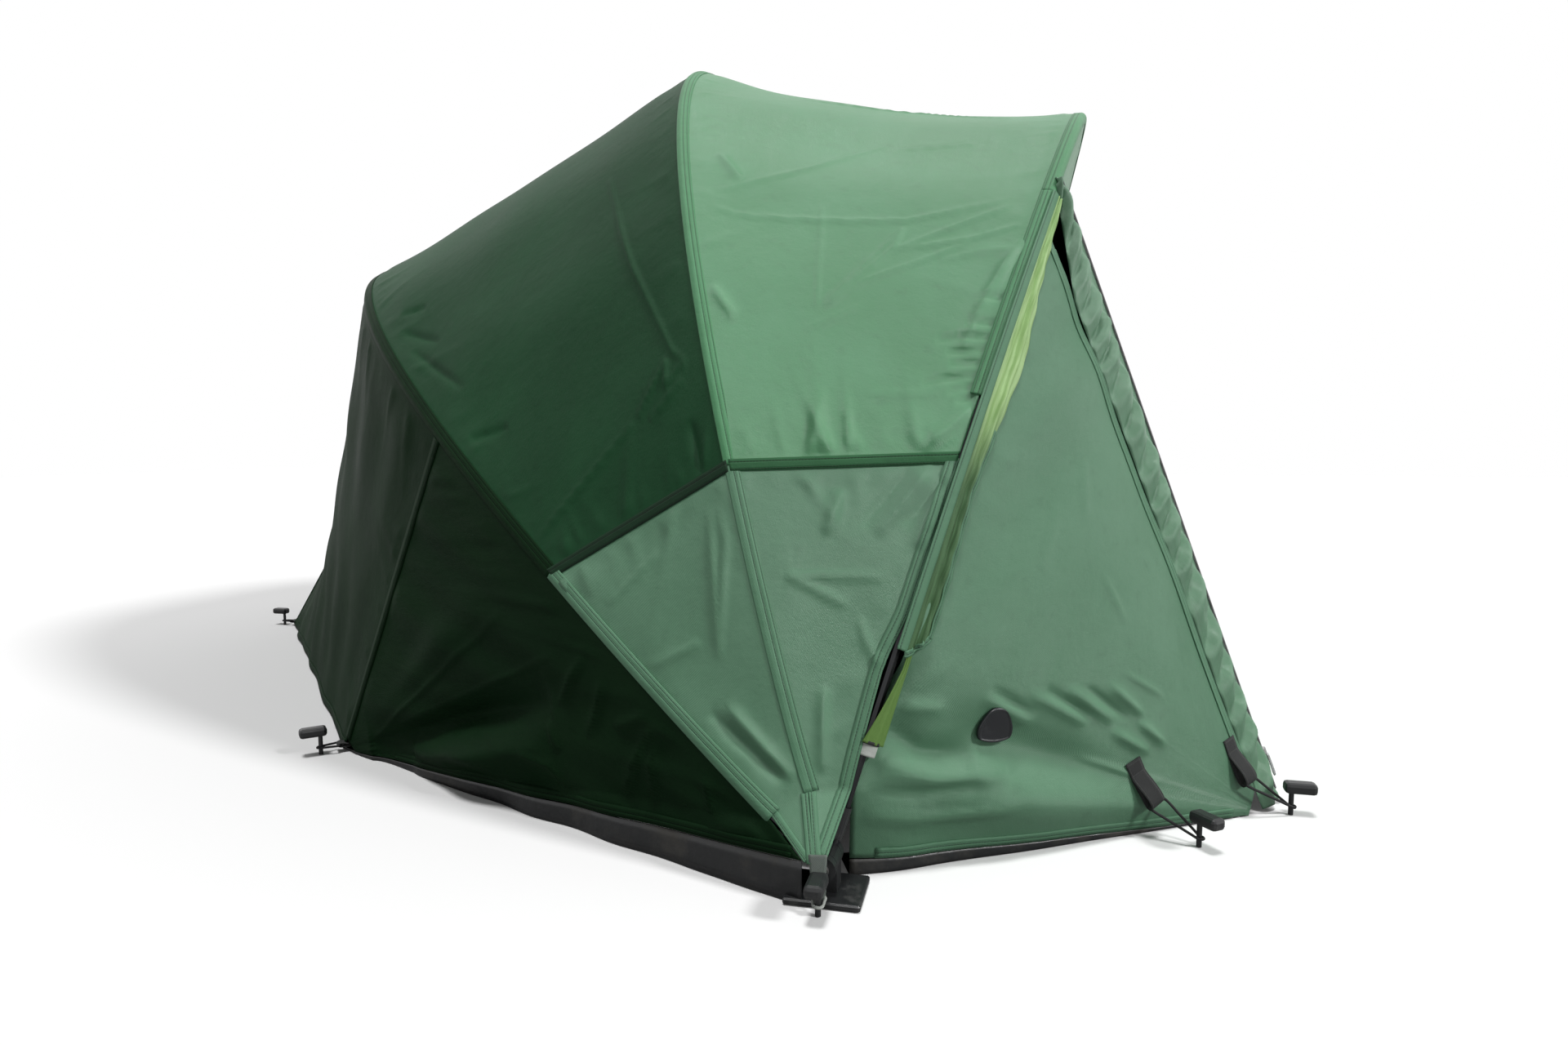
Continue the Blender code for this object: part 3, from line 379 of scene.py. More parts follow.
def outward(grid):
    """The normal at each place of a grid, pointing away from the tent's middle."""
    normals = unit(np.cross(np.gradient(grid, axis=0), np.gradient(grid, axis=1)))
    return normals if ((grid - INSIDE) * normals).sum() > 0 else -normals


def raised(grid, heights):
    return grid + outward(grid) * np.broadcast_to(heights, grid.shape[:2])[..., None]


def sampled(grid, i_shares, j_shares):
    """Places on a grid at two shares, between its points."""
    i = np.asarray(i_shares) * (len(grid) - 1)
    j = np.asarray(j_shares) * (len(grid[0]) - 1)
    low_i = np.clip(i.astype(int), 0, len(grid) - 2)
    low_j = np.clip(j.astype(int), 0, len(grid[0]) - 2)
    part_i = (i - low_i)[..., None]
    part_j = (j - low_j)[..., None]
    near = grid[low_i, low_j] * (1 - part_j) + grid[low_i, low_j + 1] * part_j
    far = grid[low_i + 1, low_j] * (1 - part_j) + grid[low_i + 1, low_j + 1] * part_j
    return near * (1 - part_i) + far * part_i


def runs(grid):
    """How far each place lies along its column and along its row, in metres."""
    down = np.linalg.norm(np.diff(grid, axis=0), axis=-1)
    over = np.linalg.norm(np.diff(grid, axis=1), axis=-1)
    along = np.concatenate([np.zeros((1, grid.shape[1])), np.cumsum(down, axis=0)])
    across = np.concatenate([np.zeros((grid.shape[0], 1)), np.cumsum(over, axis=1)], axis=1)
    return along, across


def edge_fade(distance, near, far):
    """0 nearer to an edge than near, 1 past far and smooth between them."""
    share = np.clip((distance - near) / (far - near), 0, 1)
    return share * share * (3 - 2 * share)


def billow(along, across, length, height, seed):
    """Shallow waves in many directions, as a stretched sheet keeps."""
    draw = np.random.default_rng(seed)
    total = np.zeros_like(along)
    for _ in range(7):
        angle = draw.uniform(0, math.pi)
        pitch = length * draw.uniform(0.6, 1.5)
        phase = draw.uniform(0, 2 * math.pi)
        total += np.sin(2 * math.pi * (along * math.cos(angle) + across * math.sin(angle)) / pitch + phase)
    return total * height / 3


def puckers(distance, along, spacing, reach, width, height, seed, start=0.015):
    """Small folds that run out from a seam, each with its own length, lean and height."""
    draw = np.random.default_rng(seed)
    total = np.zeros_like(along)
    place = along.min() + spacing / 2
    while place < along.max():
        lean = draw.normal(0, 0.25)
        long = reach * draw.uniform(0.35, 1.3)
        tall = height * draw.uniform(0.25, 1.0)
        wide = width * draw.uniform(0.7, 1.4)
        crest = np.exp(-((along - place - lean * distance) / wide) ** 2)
        total += tall * crest * np.exp(-(distance / long) ** 1.5) * edge_fade(distance, start, start + 0.02)
        place += spacing * draw.uniform(0.5, 1.5)
    return total


def crease(grid, shares, width, height):
    """A crease through places given as two shares each, narrow at its crest and fading at its ends."""
    spots = [sampled(grid, i, j) for i, j in shares]
    lengths = [np.linalg.norm(b - a) for a, b in zip(spots, spots[1:])]
    nearest = np.full(grid.shape[:2], np.inf)
    run = np.zeros(grid.shape[:2])
    before = 0.0
    for a, b, length in zip(spots, spots[1:], lengths):
        share = np.clip(((grid - a) @ (b - a)) / length ** 2, 0, 1)
        distance = np.linalg.norm(grid - a - share[..., None] * (b - a), axis=-1)
        closer = distance < nearest
        nearest = np.where(closer, distance, nearest)
        run = np.where(closer, before + share * length, run)
        before += length
    part = run / before
    return height * np.sqrt(np.clip(4 * part * (1 - part), 0, 1)) * np.exp(-(nearest / width) ** 1.6)


def creased(base, creases, mirror=0.0):
    """The height of a sheet's creases, which are tables of width, height and lines.

    A line holds pairs of shares along the sheet's columns and rows, in thousandths."""
    total = np.zeros(base.shape[:2])
    for width, height, *lines in creases:
        for line in lines:
            shares = np.reshape(line, (-1, 2)) / 1000
            total += crease(base, shares, width, height)
            if mirror:
                total += crease(base, [(1 - i, j) for i, j in shares], width, height * mirror)
    return total


def darker(colour, part):
    return tuple(channel * part for channel in colour)


def cut_ways(wire):
    """A piece's cut as a vector, and the runs across it and along it in metres."""
    cut = wire.add("ShaderNodeUVMap", {"uv_map": "cut"}, {})
    parts = wire.add("ShaderNodeSeparateXYZ", {}, {"Vector": cut}).socket.node
    return cut, Wire(wire.tree, parts.outputs["X"]), Wire(wire.tree, parts.outputs["Y"])


def thread_grid(wire, over, along):
    return wire.math("SINE", along * (2 * math.pi / WEAVE_PITCH)) * wire.math(
        "SINE", over * (2 * math.pi / WEAVE_PITCH))


def woven(name, colours, roughness=0.42, weave=1.0, stitches=(), thread=None, gloss=0.35, bars=()):
    """Coated cloth: a plain weave under a thin glossy coat, with faded places and rows of stitches."""
    made, surface, wire = new_finish(name, roughness, {"Specular IOR Level": gloss})
    colour, faded = colours
    cut, over, along = cut_ways(wire)
    broad = noise(wire, cut, 5.0, 4.0, 0.6)
    grain = noise(wire, cut, 420.0, 2.0, 0.6)
    tone = mixed(wire, step(wire, broad, 0.35, 0.70) * 0.7 + grain * 0.3, colour, faded)
    soil = step(wire, noise(wire, cut, 38.0, 3.0), 0.55, 0.80)
    shade = mixed(wire, soil * 0.25, tone, darker(colour, 0.6))
    height = thread_grid(wire, over, along) * 0.35 * weave + grain * 0.8
    height = height + noise(wire, cut, 24.0, 4.0, 0.6) * 6.0
    for places, way, run in ((stitches, over, along), (bars, along, over)):
        part = wire.math("PINGPONG", run, STITCH_PITCH / 2)
        dash = 1 - step(wire, part, STITCH_PITCH / 2 * STITCH_PART, STITCH_PITCH / 2)
        for place in places:
            off = wire.math("ABSOLUTE", way - place)
            row = (1 - step(wire, off, STITCH_HALF_WIDTH * 0.6, STITCH_HALF_WIDTH * 1.4)) * dash
            dip = 1 - step(wire, off, STITCH_HALF_WIDTH, STITCH_HALF_WIDTH * 3.5)
            height = height - dip * 1.6 + row * 1.5
            shade = mixed(wire, row, shade, thread or darker(colour, 0.45))
    shade.into(surface, "Base Color")
    (roughness - 0.05 + broad * 0.10 + grain * 0.06).into(surface, "Roughness")
    bump(wire, surface, height, 0.0006, 0.55)
    return made


def grid_mesh(name, grid, turn=True):
    """A mesh on a grid of places, with its flat cut in metres as its UV map."""
    rows, columns = grid.shape[:2]
    number = np.arange(rows * columns).reshape(rows, columns)
    faces = np.stack([number[:-1, :-1], number[:-1, 1:], number[1:, 1:], number[1:, :-1]], axis=-1)
    mesh = bpy.data.meshes.new(name)
    mesh.from_pydata(grid.reshape(-1, 3).tolist(), [], faces.reshape(-1, 4).tolist())
    flat = np.stack(runs(grid)[::-1], axis=-1).reshape(-1, 2)
    corners = np.empty(len(mesh.loops), dtype=np.int32)
    mesh.loops.foreach_get("vertex_index", corners)
    layer = mesh.uv_layers.new(name="cut")
    layer.data.foreach_set("uv", flat[corners].astype(np.float32).reshape(-1))
    mesh.polygons.foreach_set("use_smooth", [True] * len(mesh.polygons))
    if turn and (outward(grid) * np.cross(grid[:1, 1:] - grid[:1, :-1],
                                          grid[1:2, :-1] - grid[:1, :-1]).sum(axis=(0, 1))).sum() < 0:
        mesh.flip_normals()
    return mesh


def follow(piece, where):
    """A piece that rides on one body, or a roof bay's piece, whose places are baked in where they stand."""
    if where == "front_bay":
        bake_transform(piece)
    elif where == "rear_bay":
        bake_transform(piece)
    else:
        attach(piece, where)


def declare(grid):
    """Works out the cross products of a grid's cells and does nothing more with them."""
    first = np.cross(grid[1:, :-1] - grid[:-1, :-1], grid[:-1, 1:] - grid[:-1, :-1])
    second = np.cross(grid[1:, :-1] - grid[1:, 1:], grid[:-1, 1:] - grid[1:, 1:])


def cloth_piece(name, grid, skin, where, rests_on=(), thickness=CLOTH):
    """A thin piece of cloth, tape or flap on a grid of places."""
    grids[name] = grid
    mesh = grid_mesh(name, grid)
    mesh.materials.append(skin[0])
    piece = link_piece(name, mesh)
    solid = piece.modifiers.new("thickness", "SOLIDIFY")
    solid.thickness = thickness
    solid.offset = 0
    follow(piece, where)
    node, _, kind = name.rpartition("_")
    if kind in STAND_INS:
        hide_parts(node)
    if rests_on:
        declare(grid)


def tip(side, along=0.0):
    """The lower end of the cloth outside the hub, and places along its short edge."""
    return np.array((side * TIP_OUT, HUB_Y + TIP_BACK + along * TIP_HALF_WIDTH, TIP_HEIGHT))


def from_edges(across):
    """How far each place is from the nearer of a sheet's two edges."""
    return np.minimum(across, across[:, -1:] - across)


# Creases
FRONT_CREASES = (
    (0.0042, 0.0044, (158, 70, 155, 150, 161, 360, 170, 650, 193, 910), (95, 420, 164, 650),
     (95, 430, 143, 620, 164, 650), (143, 620, 167, 780, 188, 920), (143, 620, 158, 840, 172, 960),
     (95, 440, 116, 550, 155, 840)),
    (0.0042, 0.003, (170, 90, 208, 360, 250, 560), (244, 580, 256, 790), (137, 760, 146, 870, 149, 960),
     (176, 410, 95, 400), (77, 350, 98, 550), (39, 580, 39, 860), (330, 300, 350, 620, 320, 850),
     (400, 150, 430, 500)),
    (0.008, 0.006, (158, 970, 116, 930, 71, 890), (30, 980, 4, 840), (98, 50, 80, 120),
     (205, 110, 185, 170)),
    (0.0055, -0.006, (80, 990, 77, 800), (71, 990, 68, 840), (62, 990, 60, 860), (54, 990, 47, 780),
     (47, 990, 41, 880), (39, 990, 35, 920), (90, 990, 88, 880), (110, 990, 107, 900)),
)
REAR_CREASES = (
    (0.0042, 0.0042, (229, 230, 167, 220, 140, 210, 71, 130, 62, 90, 54, 110), (71, 160, 51, 340),
     (71, 160, 57, 190, 62, 100), (54, 110, 45, 290), (24, 950, 51, 360)),
    (0.007, -0.005, (3, 130, 30, 120), (226, 930, 199, 850), (241, 910, 235, 840), (205, 930, 158, 860),
     (120, 930, 110, 800)),
)
FRONT_LOWER_CREASES = (
    (0.0045, 0.0034, (634, 200, 622, 800), (634, 200, 537, 590), (500, 670, 427, 780, 354, 980)),
    (0.008, 0.006, (970, 900, 756, 710), (940, 950, 707, 940), (900, 500, 760, 440), (300, 450, 60, 360)),
    (0.007, -0.004, (960, 800, 780, 620), (920, 980, 780, 840)),
)
REAR_LOWER_CREASES = (
    (0.0045, 0.0034, (902, 140, 683, 240, 463, 430), (890, 100, 780, 100, 476, 390), (793, 860, 866, 470),
     (549, 900, 537, 490)),
    (0.009, -0.007, (341, 735, 60, 370)),
    (0.008, 0.006, (330, 550, 60, 200)),
)
# Each skin is a material and the record's slot for it
roof_cloth = woven("roof_cloth", ROOF_GREEN, 0.35, gloss=0.6), "green_cloth"
# The rear bay's cloth carries painted shade
rear_cloth = woven("rear_cloth", REAR_SHADED_GREEN, 0.42, gloss=0.08), "green_cloth"
lower_cloth = woven("lower_cloth", LOWER_GREEN, 0.40, 1.6, gloss=0.5), "grey_green_cloth"
upper_run = np.array((LOWER_STATIONS, 2 * CROWN - LOWER_STATIONS))
for bay, hoop, sag, creases, skin, seed in (("front", FRONT, ROOF_FRONT_SAG, FRONT_CREASES, roof_cloth, 11),
                                            ("rear", REAR, ROOF_REAR_SAG, REAR_CREASES, rear_cloth, 21)):
    stations = upper_run[0] + (upper_run[1] - upper_run[0]) * spaced(
        length_of(MIDDLE.at(np.linspace(*upper_run, 99))), CELL)
    width = np.linalg.norm(MIDDLE.at(np.array([CROWN])) - hoop.at(np.array([CROWN])))
    base = between(MIDDLE.at(stations), hoop.at(stations), spaced(width, FINE_CELL))
    along, across = runs(base)
    share = across / across[:, -1:]
    from_end = np.minimum(along, along[-1:] - along)
    crown_share = np.clip(np.sin(math.pi * along / along[-1:]), 0, 1)
    inner = edge_fade(from_edges(across), 0.012, 0.08) * edge_fade(from_end, 0.006, 0.05)
    heights = ROOF_SEAT - sag * 4 * share * (1 - share) * crown_share ** 0.7
    heights += billow(along, across, *ROOF_WAVES, seed) * inner
    calm = edge_fade(from_edges(across), 0.008, 0.040)
    heights += puckers(from_end, across, *ROOF_END_PUCKERS, seed + 1, 0.006) * calm
    heights += puckers(across, along, *ROOF_MIDDLE_PUCKERS, seed + 2)
    heights += puckers(across[:, -1:] - across, along, *ROOF_OUTER_PUCKERS, seed + 3)
    cloth_piece(f"roof_{bay}_upper_cloth", raised(base, heights + creased(base, creases, 0.8)), skin,
                f"{bay}_bay", ["middle_crown", f"{bay}_crown"])

for label, side in SIDES.items():
    for bay, hoop, free_share, creases, way in (("front", FRONT, FREE_SHARE, FRONT_LOWER_CREASES, -1),
                                                ("rear", REAR, 0.0, REAR_LOWER_CREASES, 1)):
        length = length_of(MIDDLE.at(np.linspace(0, LOWER_STATIONS, 50)))
        stations = LOWER_STATIONS * spaced(length, FINE_CELL)
        edge_a = MIDDLE.at(stations, side)
        free = free_share * (1 - edge_fade(stations, FREE_FROM, FREE_TO))
        edge_b = edge_a + (hoop.at(stations, side) - edge_a) * (1 - free)[:, None]
        columns = spaced(np.linalg.norm(edge_b[-1] - edge_a[-1]), FINE_CELL)
        base = between(edge_a, edge_b, columns)
        end = between(tip(side)[None], tip(side, way)[None], columns)[0]
        falls = end + (raised(base, LOWER_SEAT)[0] - end) * spaced(TIP_RUN, FINE_CELL)[:-1, None, None]
        base[-1] += unit(base[-2] - base[-1]) * SEAM_GAP
        along, across = runs(base)
        from_seam = along[-1:] - along
        inner = edge_fade(from_edges(across), 0.010, 0.05) * edge_fade(from_seam, 0.004, 0.04)
        heights = LOWER_SEAT + billow(along, across, *LOWER_WAVES, 31 + side) * inner
        heights += puckers(from_seam, across, *LOWER_TOP_PUCKERS, 32 + side, 0.006)
        heights += puckers(across[:, -1:] - across, along, *LOWER_SIDE_PUCKERS, 33 + side) * edge_fade(
            along, 0.02, 0.08)
        heights += creased(base, creases) * edge_fade(along, 0.0, 0.03)
        cloth_piece(f"roof_{bay}_lower_{label}_cloth", np.concatenate([falls, raised(base, heights)]),
                    lower_cloth, f"{bay}_bay", [f"middle_leg_{label}", f"{bay}_leg_{label}"])


# Felled seams and pole channels
# The upper and lower sheets are joined by a felled seam with two rows of stitches. Along each hoop
# the cloth wraps the pole in a channel, stitched down in two rows on both sides of it.

TAPE = 0.0010
FELL_HALF_WIDTH = 0.0075
FELL_LIFT = 0.0011
CHANNEL_WIDTH = 0.0125
CHANNEL_NARROW = 0.0045
CHANNEL_SEAT = 0.0100
CHANNEL_ARC_STEPS = 7
FREE_HEM_WIDTH = 0.014
STITCH_INSET = 0.0022
CHANNEL_ARC = 0.004
SAG_DIP = 0.17
# The roof's front edge wraps the front pole down to a short break above the felled seam
BREAK_STATION = 8.1
TIP_SEAM_WIDTH = 0.0085
TIP_SEAM_ROWS = 15
HEM_ARC = 0.62
# Rows of stitches, each as far in from a strip's first edge
fell_rows = (STITCH_INSET, 2 * FELL_HALF_WIDTH - STITCH_INSET)
hem_rows = (STITCH_INSET, 2 * STITCH_INSET + 0.003)
channel_rows = (CHANNEL_NARROW + CHANNEL_ARC + 0.003, CHANNEL_NARROW + CHANNEL_ARC + 0.0095)
front_hem_rows = (0.0035, 0.010)
lower_hem_rows = (0.003, 0.0105)


def edge_of(grid, which):
    """A grid's edge as a line, with the way in from it and the way out of the cloth."""
    turned, normals = grid, outward(grid)
    if "column" in which:
        turned, normals = turned.transpose(1, 0, 2), normals.transpose(1, 0, 2)
    if "last" in which:
        turned, normals = turned[::-1], normals[::-1]
    along = unit(np.gradient(turned[0], axis=0))
    way = turned[2] - turned[0]
    return turned[0], unit(way - (way * along).sum(axis=-1, keepdims=True) * along), normals[0]


def edge_tape(name, cloth, which, width, skin, where, keep=slice(None), over=0.0):
    """A strip of doubled cloth along a sheet's edge, from over its edge to a width in from it."""
    line, way, normals = (part[keep] for part in edge_of(grids[cloth], which))
    steps = np.linspace(-over, width, 5)
    cloth_piece(name, line[:, None] + way[:, None] * steps[None, :, None] + (normals * FELL_LIFT)[:, None],
                skin, where, [cloth], TAPE)


def row_of(grid, row, shares):
    """Places along a grid's first or last row, with the way in from it and the way out of the cloth."""
    rows, zero = [row, row + (1 if row == 0 else -1)], np.zeros(len(shares))
    edge = sampled(grid[rows], zero, shares)
    inward = unit(sampled(grid[rows], zero + 1, shares) - edge)
    return edge, inward, unit(sampled(outward(grid)[rows], zero, shares))


def channel(name, hoop, stations, side, towards, skin, where, rests_on,
            widths=(CHANNEL_NARROW, CHANNEL_WIDTH), dips=(0.0, 0.0), seat=CHANNEL_SEAT, arc=1.0):
    """The cloth that wraps a pole: flat beside it towards one or two hoops or places and round over it."""
    line = hoop.at(stations, side)
    along = unit(np.gradient(line, axis=0))
    flats = []
    for target, dip in zip(towards, dips):
        way = (target.at(stations, side) if isinstance(target, Hoop) else target) - line
        way = unit(way - (way * along).sum(axis=-1, keepdims=True) * along)
        normal = np.cross(along, way)
        normal *= np.sign(((line - INSIDE) * normal).sum(axis=-1, keepdims=True))
        flats.append((normal, unit(way - normal * dip)))
    (normal_a, slope_a), (normal_b, slope_b) = flats
    columns = [line + normal_a * seat + slope_a * width for width in np.linspace(widths[0], 0, 4)]
    columns += [line + unit(normal_a * (1 - share) + normal_b * share) * seat
                for share in np.linspace(0, arc, CHANNEL_ARC_STEPS)[1:]]
    if widths[1]:
        columns += [line + normal_b * seat + slope_b * width for width in np.linspace(0, widths[1], 4)[1:]]
    cloth_piece(name, np.stack(columns, axis=1), skin, where, rests_on, TAPE)


# The rear seam's colours are darkened from the rear bay's painted shade
for bay, (colour, faded) in (("front", ROOF_GREEN), ("rear", REAR_SHADED_GREEN)):
    fell_cloth = woven(f"{bay}_fell", (darker(colour, 0.45), darker(colour, 0.6)), 0.50, 1.0, fell_rows,
                       darker(colour, 0.15), 0.15), "green_cloth"
    for label, side in SIDES.items():
        upper, lower = f"roof_{bay}_upper_cloth", f"roof_{bay}_lower_{label}_cloth"
        columns = np.linspace(0, 1, 90)
        top, top_way, normal = row_of(grids[upper], 0 if side < 0 else -1, columns)
        low, low_way, _ = row_of(grids[lower], -1, columns)
        rise = normal * FELL_LIFT
        strip = np.stack([low + low_way * FELL_HALF_WIDTH + rise, low + low_way * FELL_HALF_WIDTH / 2 + rise,
                          (low + top) / 2 + rise * 1.3, top + top_way * FELL_HALF_WIDTH / 2 + rise,
                          top + top_way * FELL_HALF_WIDTH + rise], axis=1)
        cloth_piece(f"fell_{bay}_{label}", strip, fell_cloth, f"{bay}_bay", [upper, lower], TAPE)

channel_cloth = woven("channel_cloth", ROOF_GREEN, 0.42, 1.0, channel_rows), "green_cloth"
lower_channel = woven("lower_channel", LOWER_GREEN, 0.46, 1.4, channel_rows), "grey_green_cloth"
hem_channel = woven("hem_channel", ROOF_GREEN, 0.42, 1.0, front_hem_rows), "green_cloth"
lower_hem = woven("lower_hem", LOWER_GREEN, 0.46, 1.4, lower_hem_rows), "grey_green_cloth"
upper_stations = np.linspace(*upper_run, 420)
lower_stations = np.linspace(0, LOWER_STATIONS, 90)
crown_stations = np.linspace(DOOR_TOP - 0.4, 2 * CROWN - DOOR_TOP + 0.4, 300)
hem_stations = np.linspace(BREAK_STATION, DOOR_TOP - 0.4, 120)
channel("channel_middle_upper", MIDDLE, upper_stations, -1, (REAR, FRONT), channel_cloth, "frame",
        ["middle_crown"], dips=(0.03, SAG_DIP))
channel("channel_front_crown", FRONT, crown_stations, -1, (MIDDLE, INSIDE_HUB), hem_channel,
        "front_rib", ["front_crown"], (CHANNEL_WIDTH, 0.007), (SAG_DIP, 0.0))
for label, side in SIDES.items():
    channel(f"channel_middle_lower_{label}", MIDDLE, lower_stations, side, (REAR, FRONT), lower_channel,
            "frame", [f"middle_leg_{label}"], seat=CHANNEL_SEAT - 0.0008)
    channel(f"hem_front_upper_{label}", FRONT, hem_stations, side, (MIDDLE, INSIDE_HUB), hem_channel,
            "front_rib", ["front_crown"], (CHANNEL_WIDTH, 0.0), (SAG_DIP, 0.0), arc=HEM_ARC)
    edge_tape(f"hem_front_lower_{label}", f"roof_front_lower_{label}_cloth", "last_column", FREE_HEM_WIDTH,
              lower_hem, "front_bay", slice(1, None), 0.0015)
    # Below the poles the seams run on to the tip
    for bay, which in (("front", "first_column"), ("rear", "first_column"), ("rear", "last_column")):
        edge_tape(f"seam_tip_{bay}_{which}_{label}", f"roof_{bay}_lower_{label}_cloth", which, TIP_SEAM_WIDTH,
                  lower_hem, f"{bay}_bay", slice(0, TIP_SEAM_ROWS), 0.0005)


# Back cloth
# Below the rear hoop the cloth comes straight down to the side and tail pegs: a triangle on each
# side and a back face, of the same green coated cloth painted nearly black-green as shade, with loose folds
# by the hems.

PEG_CLOTH = 0.0020
# Places on the ground out from the tent's middle line and back from the hubs
SIDE_PEG = (0.915, 0.895)
TAIL_PEG = (0.0, 1.790)
FAN_END = 0.965
# The back is the roof's green cloth, painted nearly black-green as shade
BACK_SHADED_GREEN = (0.005, 0.020, 0.007), (0.009, 0.030, 0.011)
BACK_GLOSS = 0.03
BACK_SEAM_HALF_WIDTH = 0.009
CORNER_STILL = 0.030
CORNER_SEAM_WIDTH = 0.009
SIDE_WAVES = (0.20, 0.0040)
SIDE_PUCKERS = (0.050, 0.100, 0.014, 0.0050)
BACK_WAVES = (0.24, 0.0036)
BACK_POLE_PUCKERS = (0.060, 0.100, 0.013, 0.0045)
BACK_CORNER_PUCKERS = (0.060, 0.080, 0.013, 0.0040)
# Folds by their middle and half width up the sheet, the same along it, and height
SIDE_FOLD = 0.018
SIDE_FOLD_SHARES = ((0.22, 0.10, 0.62, 0.25, 1.0), (0.42, 0.07, 0.60, 0.20, -1.0),
                    (0.72, 0.06, 0.45, 0.20, 0.5))
SIDE_CREASES = (
    (0.03, -0.024, (190, 930, 320, 720, 387, 500, 387, 260)),
    (0.026, 0.014, (150, 800, 215, 600, 250, 350)),
    (0.006, 0.005, (376, 240, 473, 80), (409, 80, 269, 230), (312, 50, 290, 150), (280, 70, 86, 200),
     (280, 80, 86, 260), (161, 50, 65, 100), (330, 300, 230, 330), (60, 400, 170, 380, 230, 420)),
    (0.005, 0.0026, (473, 900, 667, 190), (516, 780, 505, 140)),
)
rear_rows = (0.003, 0.0095)
back_rows = (STITCH_INSET, 2 * BACK_SEAM_HALF_WIDTH - STITCH_INSET)


def ground(side, place, height=PEG_CLOTH):
    return np.array((side * place[0], HUB_Y + place[1], height))


side_pegs = {side: ground(side, SIDE_PEG) for side in SIDES.values()}
tail = ground(0, TAIL_PEG)


def folds(fold_shares, i, j):
    """The height of a sheet's folds at one place, from -1 to 1."""
    return sum(height * np.exp(-((i - up) / up_width) ** 2 - ((j - along) / along_width) ** 2)
               for up, up_width, along, along_width, height in fold_shares)


def shares_of(grid):
    rows, columns = grid.shape[:2]
    return np.meshgrid(np.linspace(0, 1, rows), np.linspace(0, 1, columns), indexing="ij")


def fan(edge, peg, length):
    """Places on straight lines from an edge to a peg, stopped just short of it."""
    return between(edge, np.broadcast_to(peg, edge.shape), spaced(length, CELL) * FAN_END)


def fan_edge(hoop, side, start, top):
    """The edge of a fan: from its hem's start near the hub up its pole."""
    first = hoop.at(np.array([0.0]), side)
    steps = spaced(np.linalg.norm(first - start), CELL)[:-1, None]
    rise = hoop.at(np.linspace(0, top, int(length_of(hoop.at(np.linspace(0, top, 50))) / CELL)), side)
    return np.concatenate([start + (first - start) * steps, rise])


def back_hem(stations, side):
    """Places on the back's hem, from a side peg to the tail peg, each for a station of the rear pole."""
    share = np.clip((stations - CORNER) / (CROWN - CORNER), 0, 1)
    return side_pegs[side] + (tail - side_pegs[side]) * share[:, None]


# These cloths carry the back's painted shade
back_cloth = woven("back_cloth", BACK_SHADED_GREEN, 0.45, gloss=BACK_GLOSS), "green_cloth"
hem_cloth = woven("hem_cloth", BACK_SHADED_GREEN, 0.45, 1.0, hem_rows, gloss=BACK_GLOSS), "green_cloth"
back_seam = woven("back_seam", BACK_SHADED_GREEN, 0.45, 1.0, back_rows, gloss=BACK_GLOSS), "green_cloth"
rear_channel = woven("rear_channel", BACK_SHADED_GREEN, 0.42, 1.0, rear_rows, gloss=BACK_GLOSS), "green_cloth"
rear_lower_channel = woven("rear_lower_channel", LOWER_GREEN, 0.46, 1.4, rear_rows), "grey_green_cloth"
hem_line = np.where((upper_stations <= CROWN)[:, None], back_hem(upper_stations, -1),
                    back_hem(2 * CROWN - upper_stations, 1))
channel("channel_rear_upper", REAR, upper_stations, -1, (MIDDLE, hem_line), rear_channel,
        "rear_rib", ["rear_crown"], (CHANNEL_WIDTH, CHANNEL_NARROW), (0.03, 0.0))
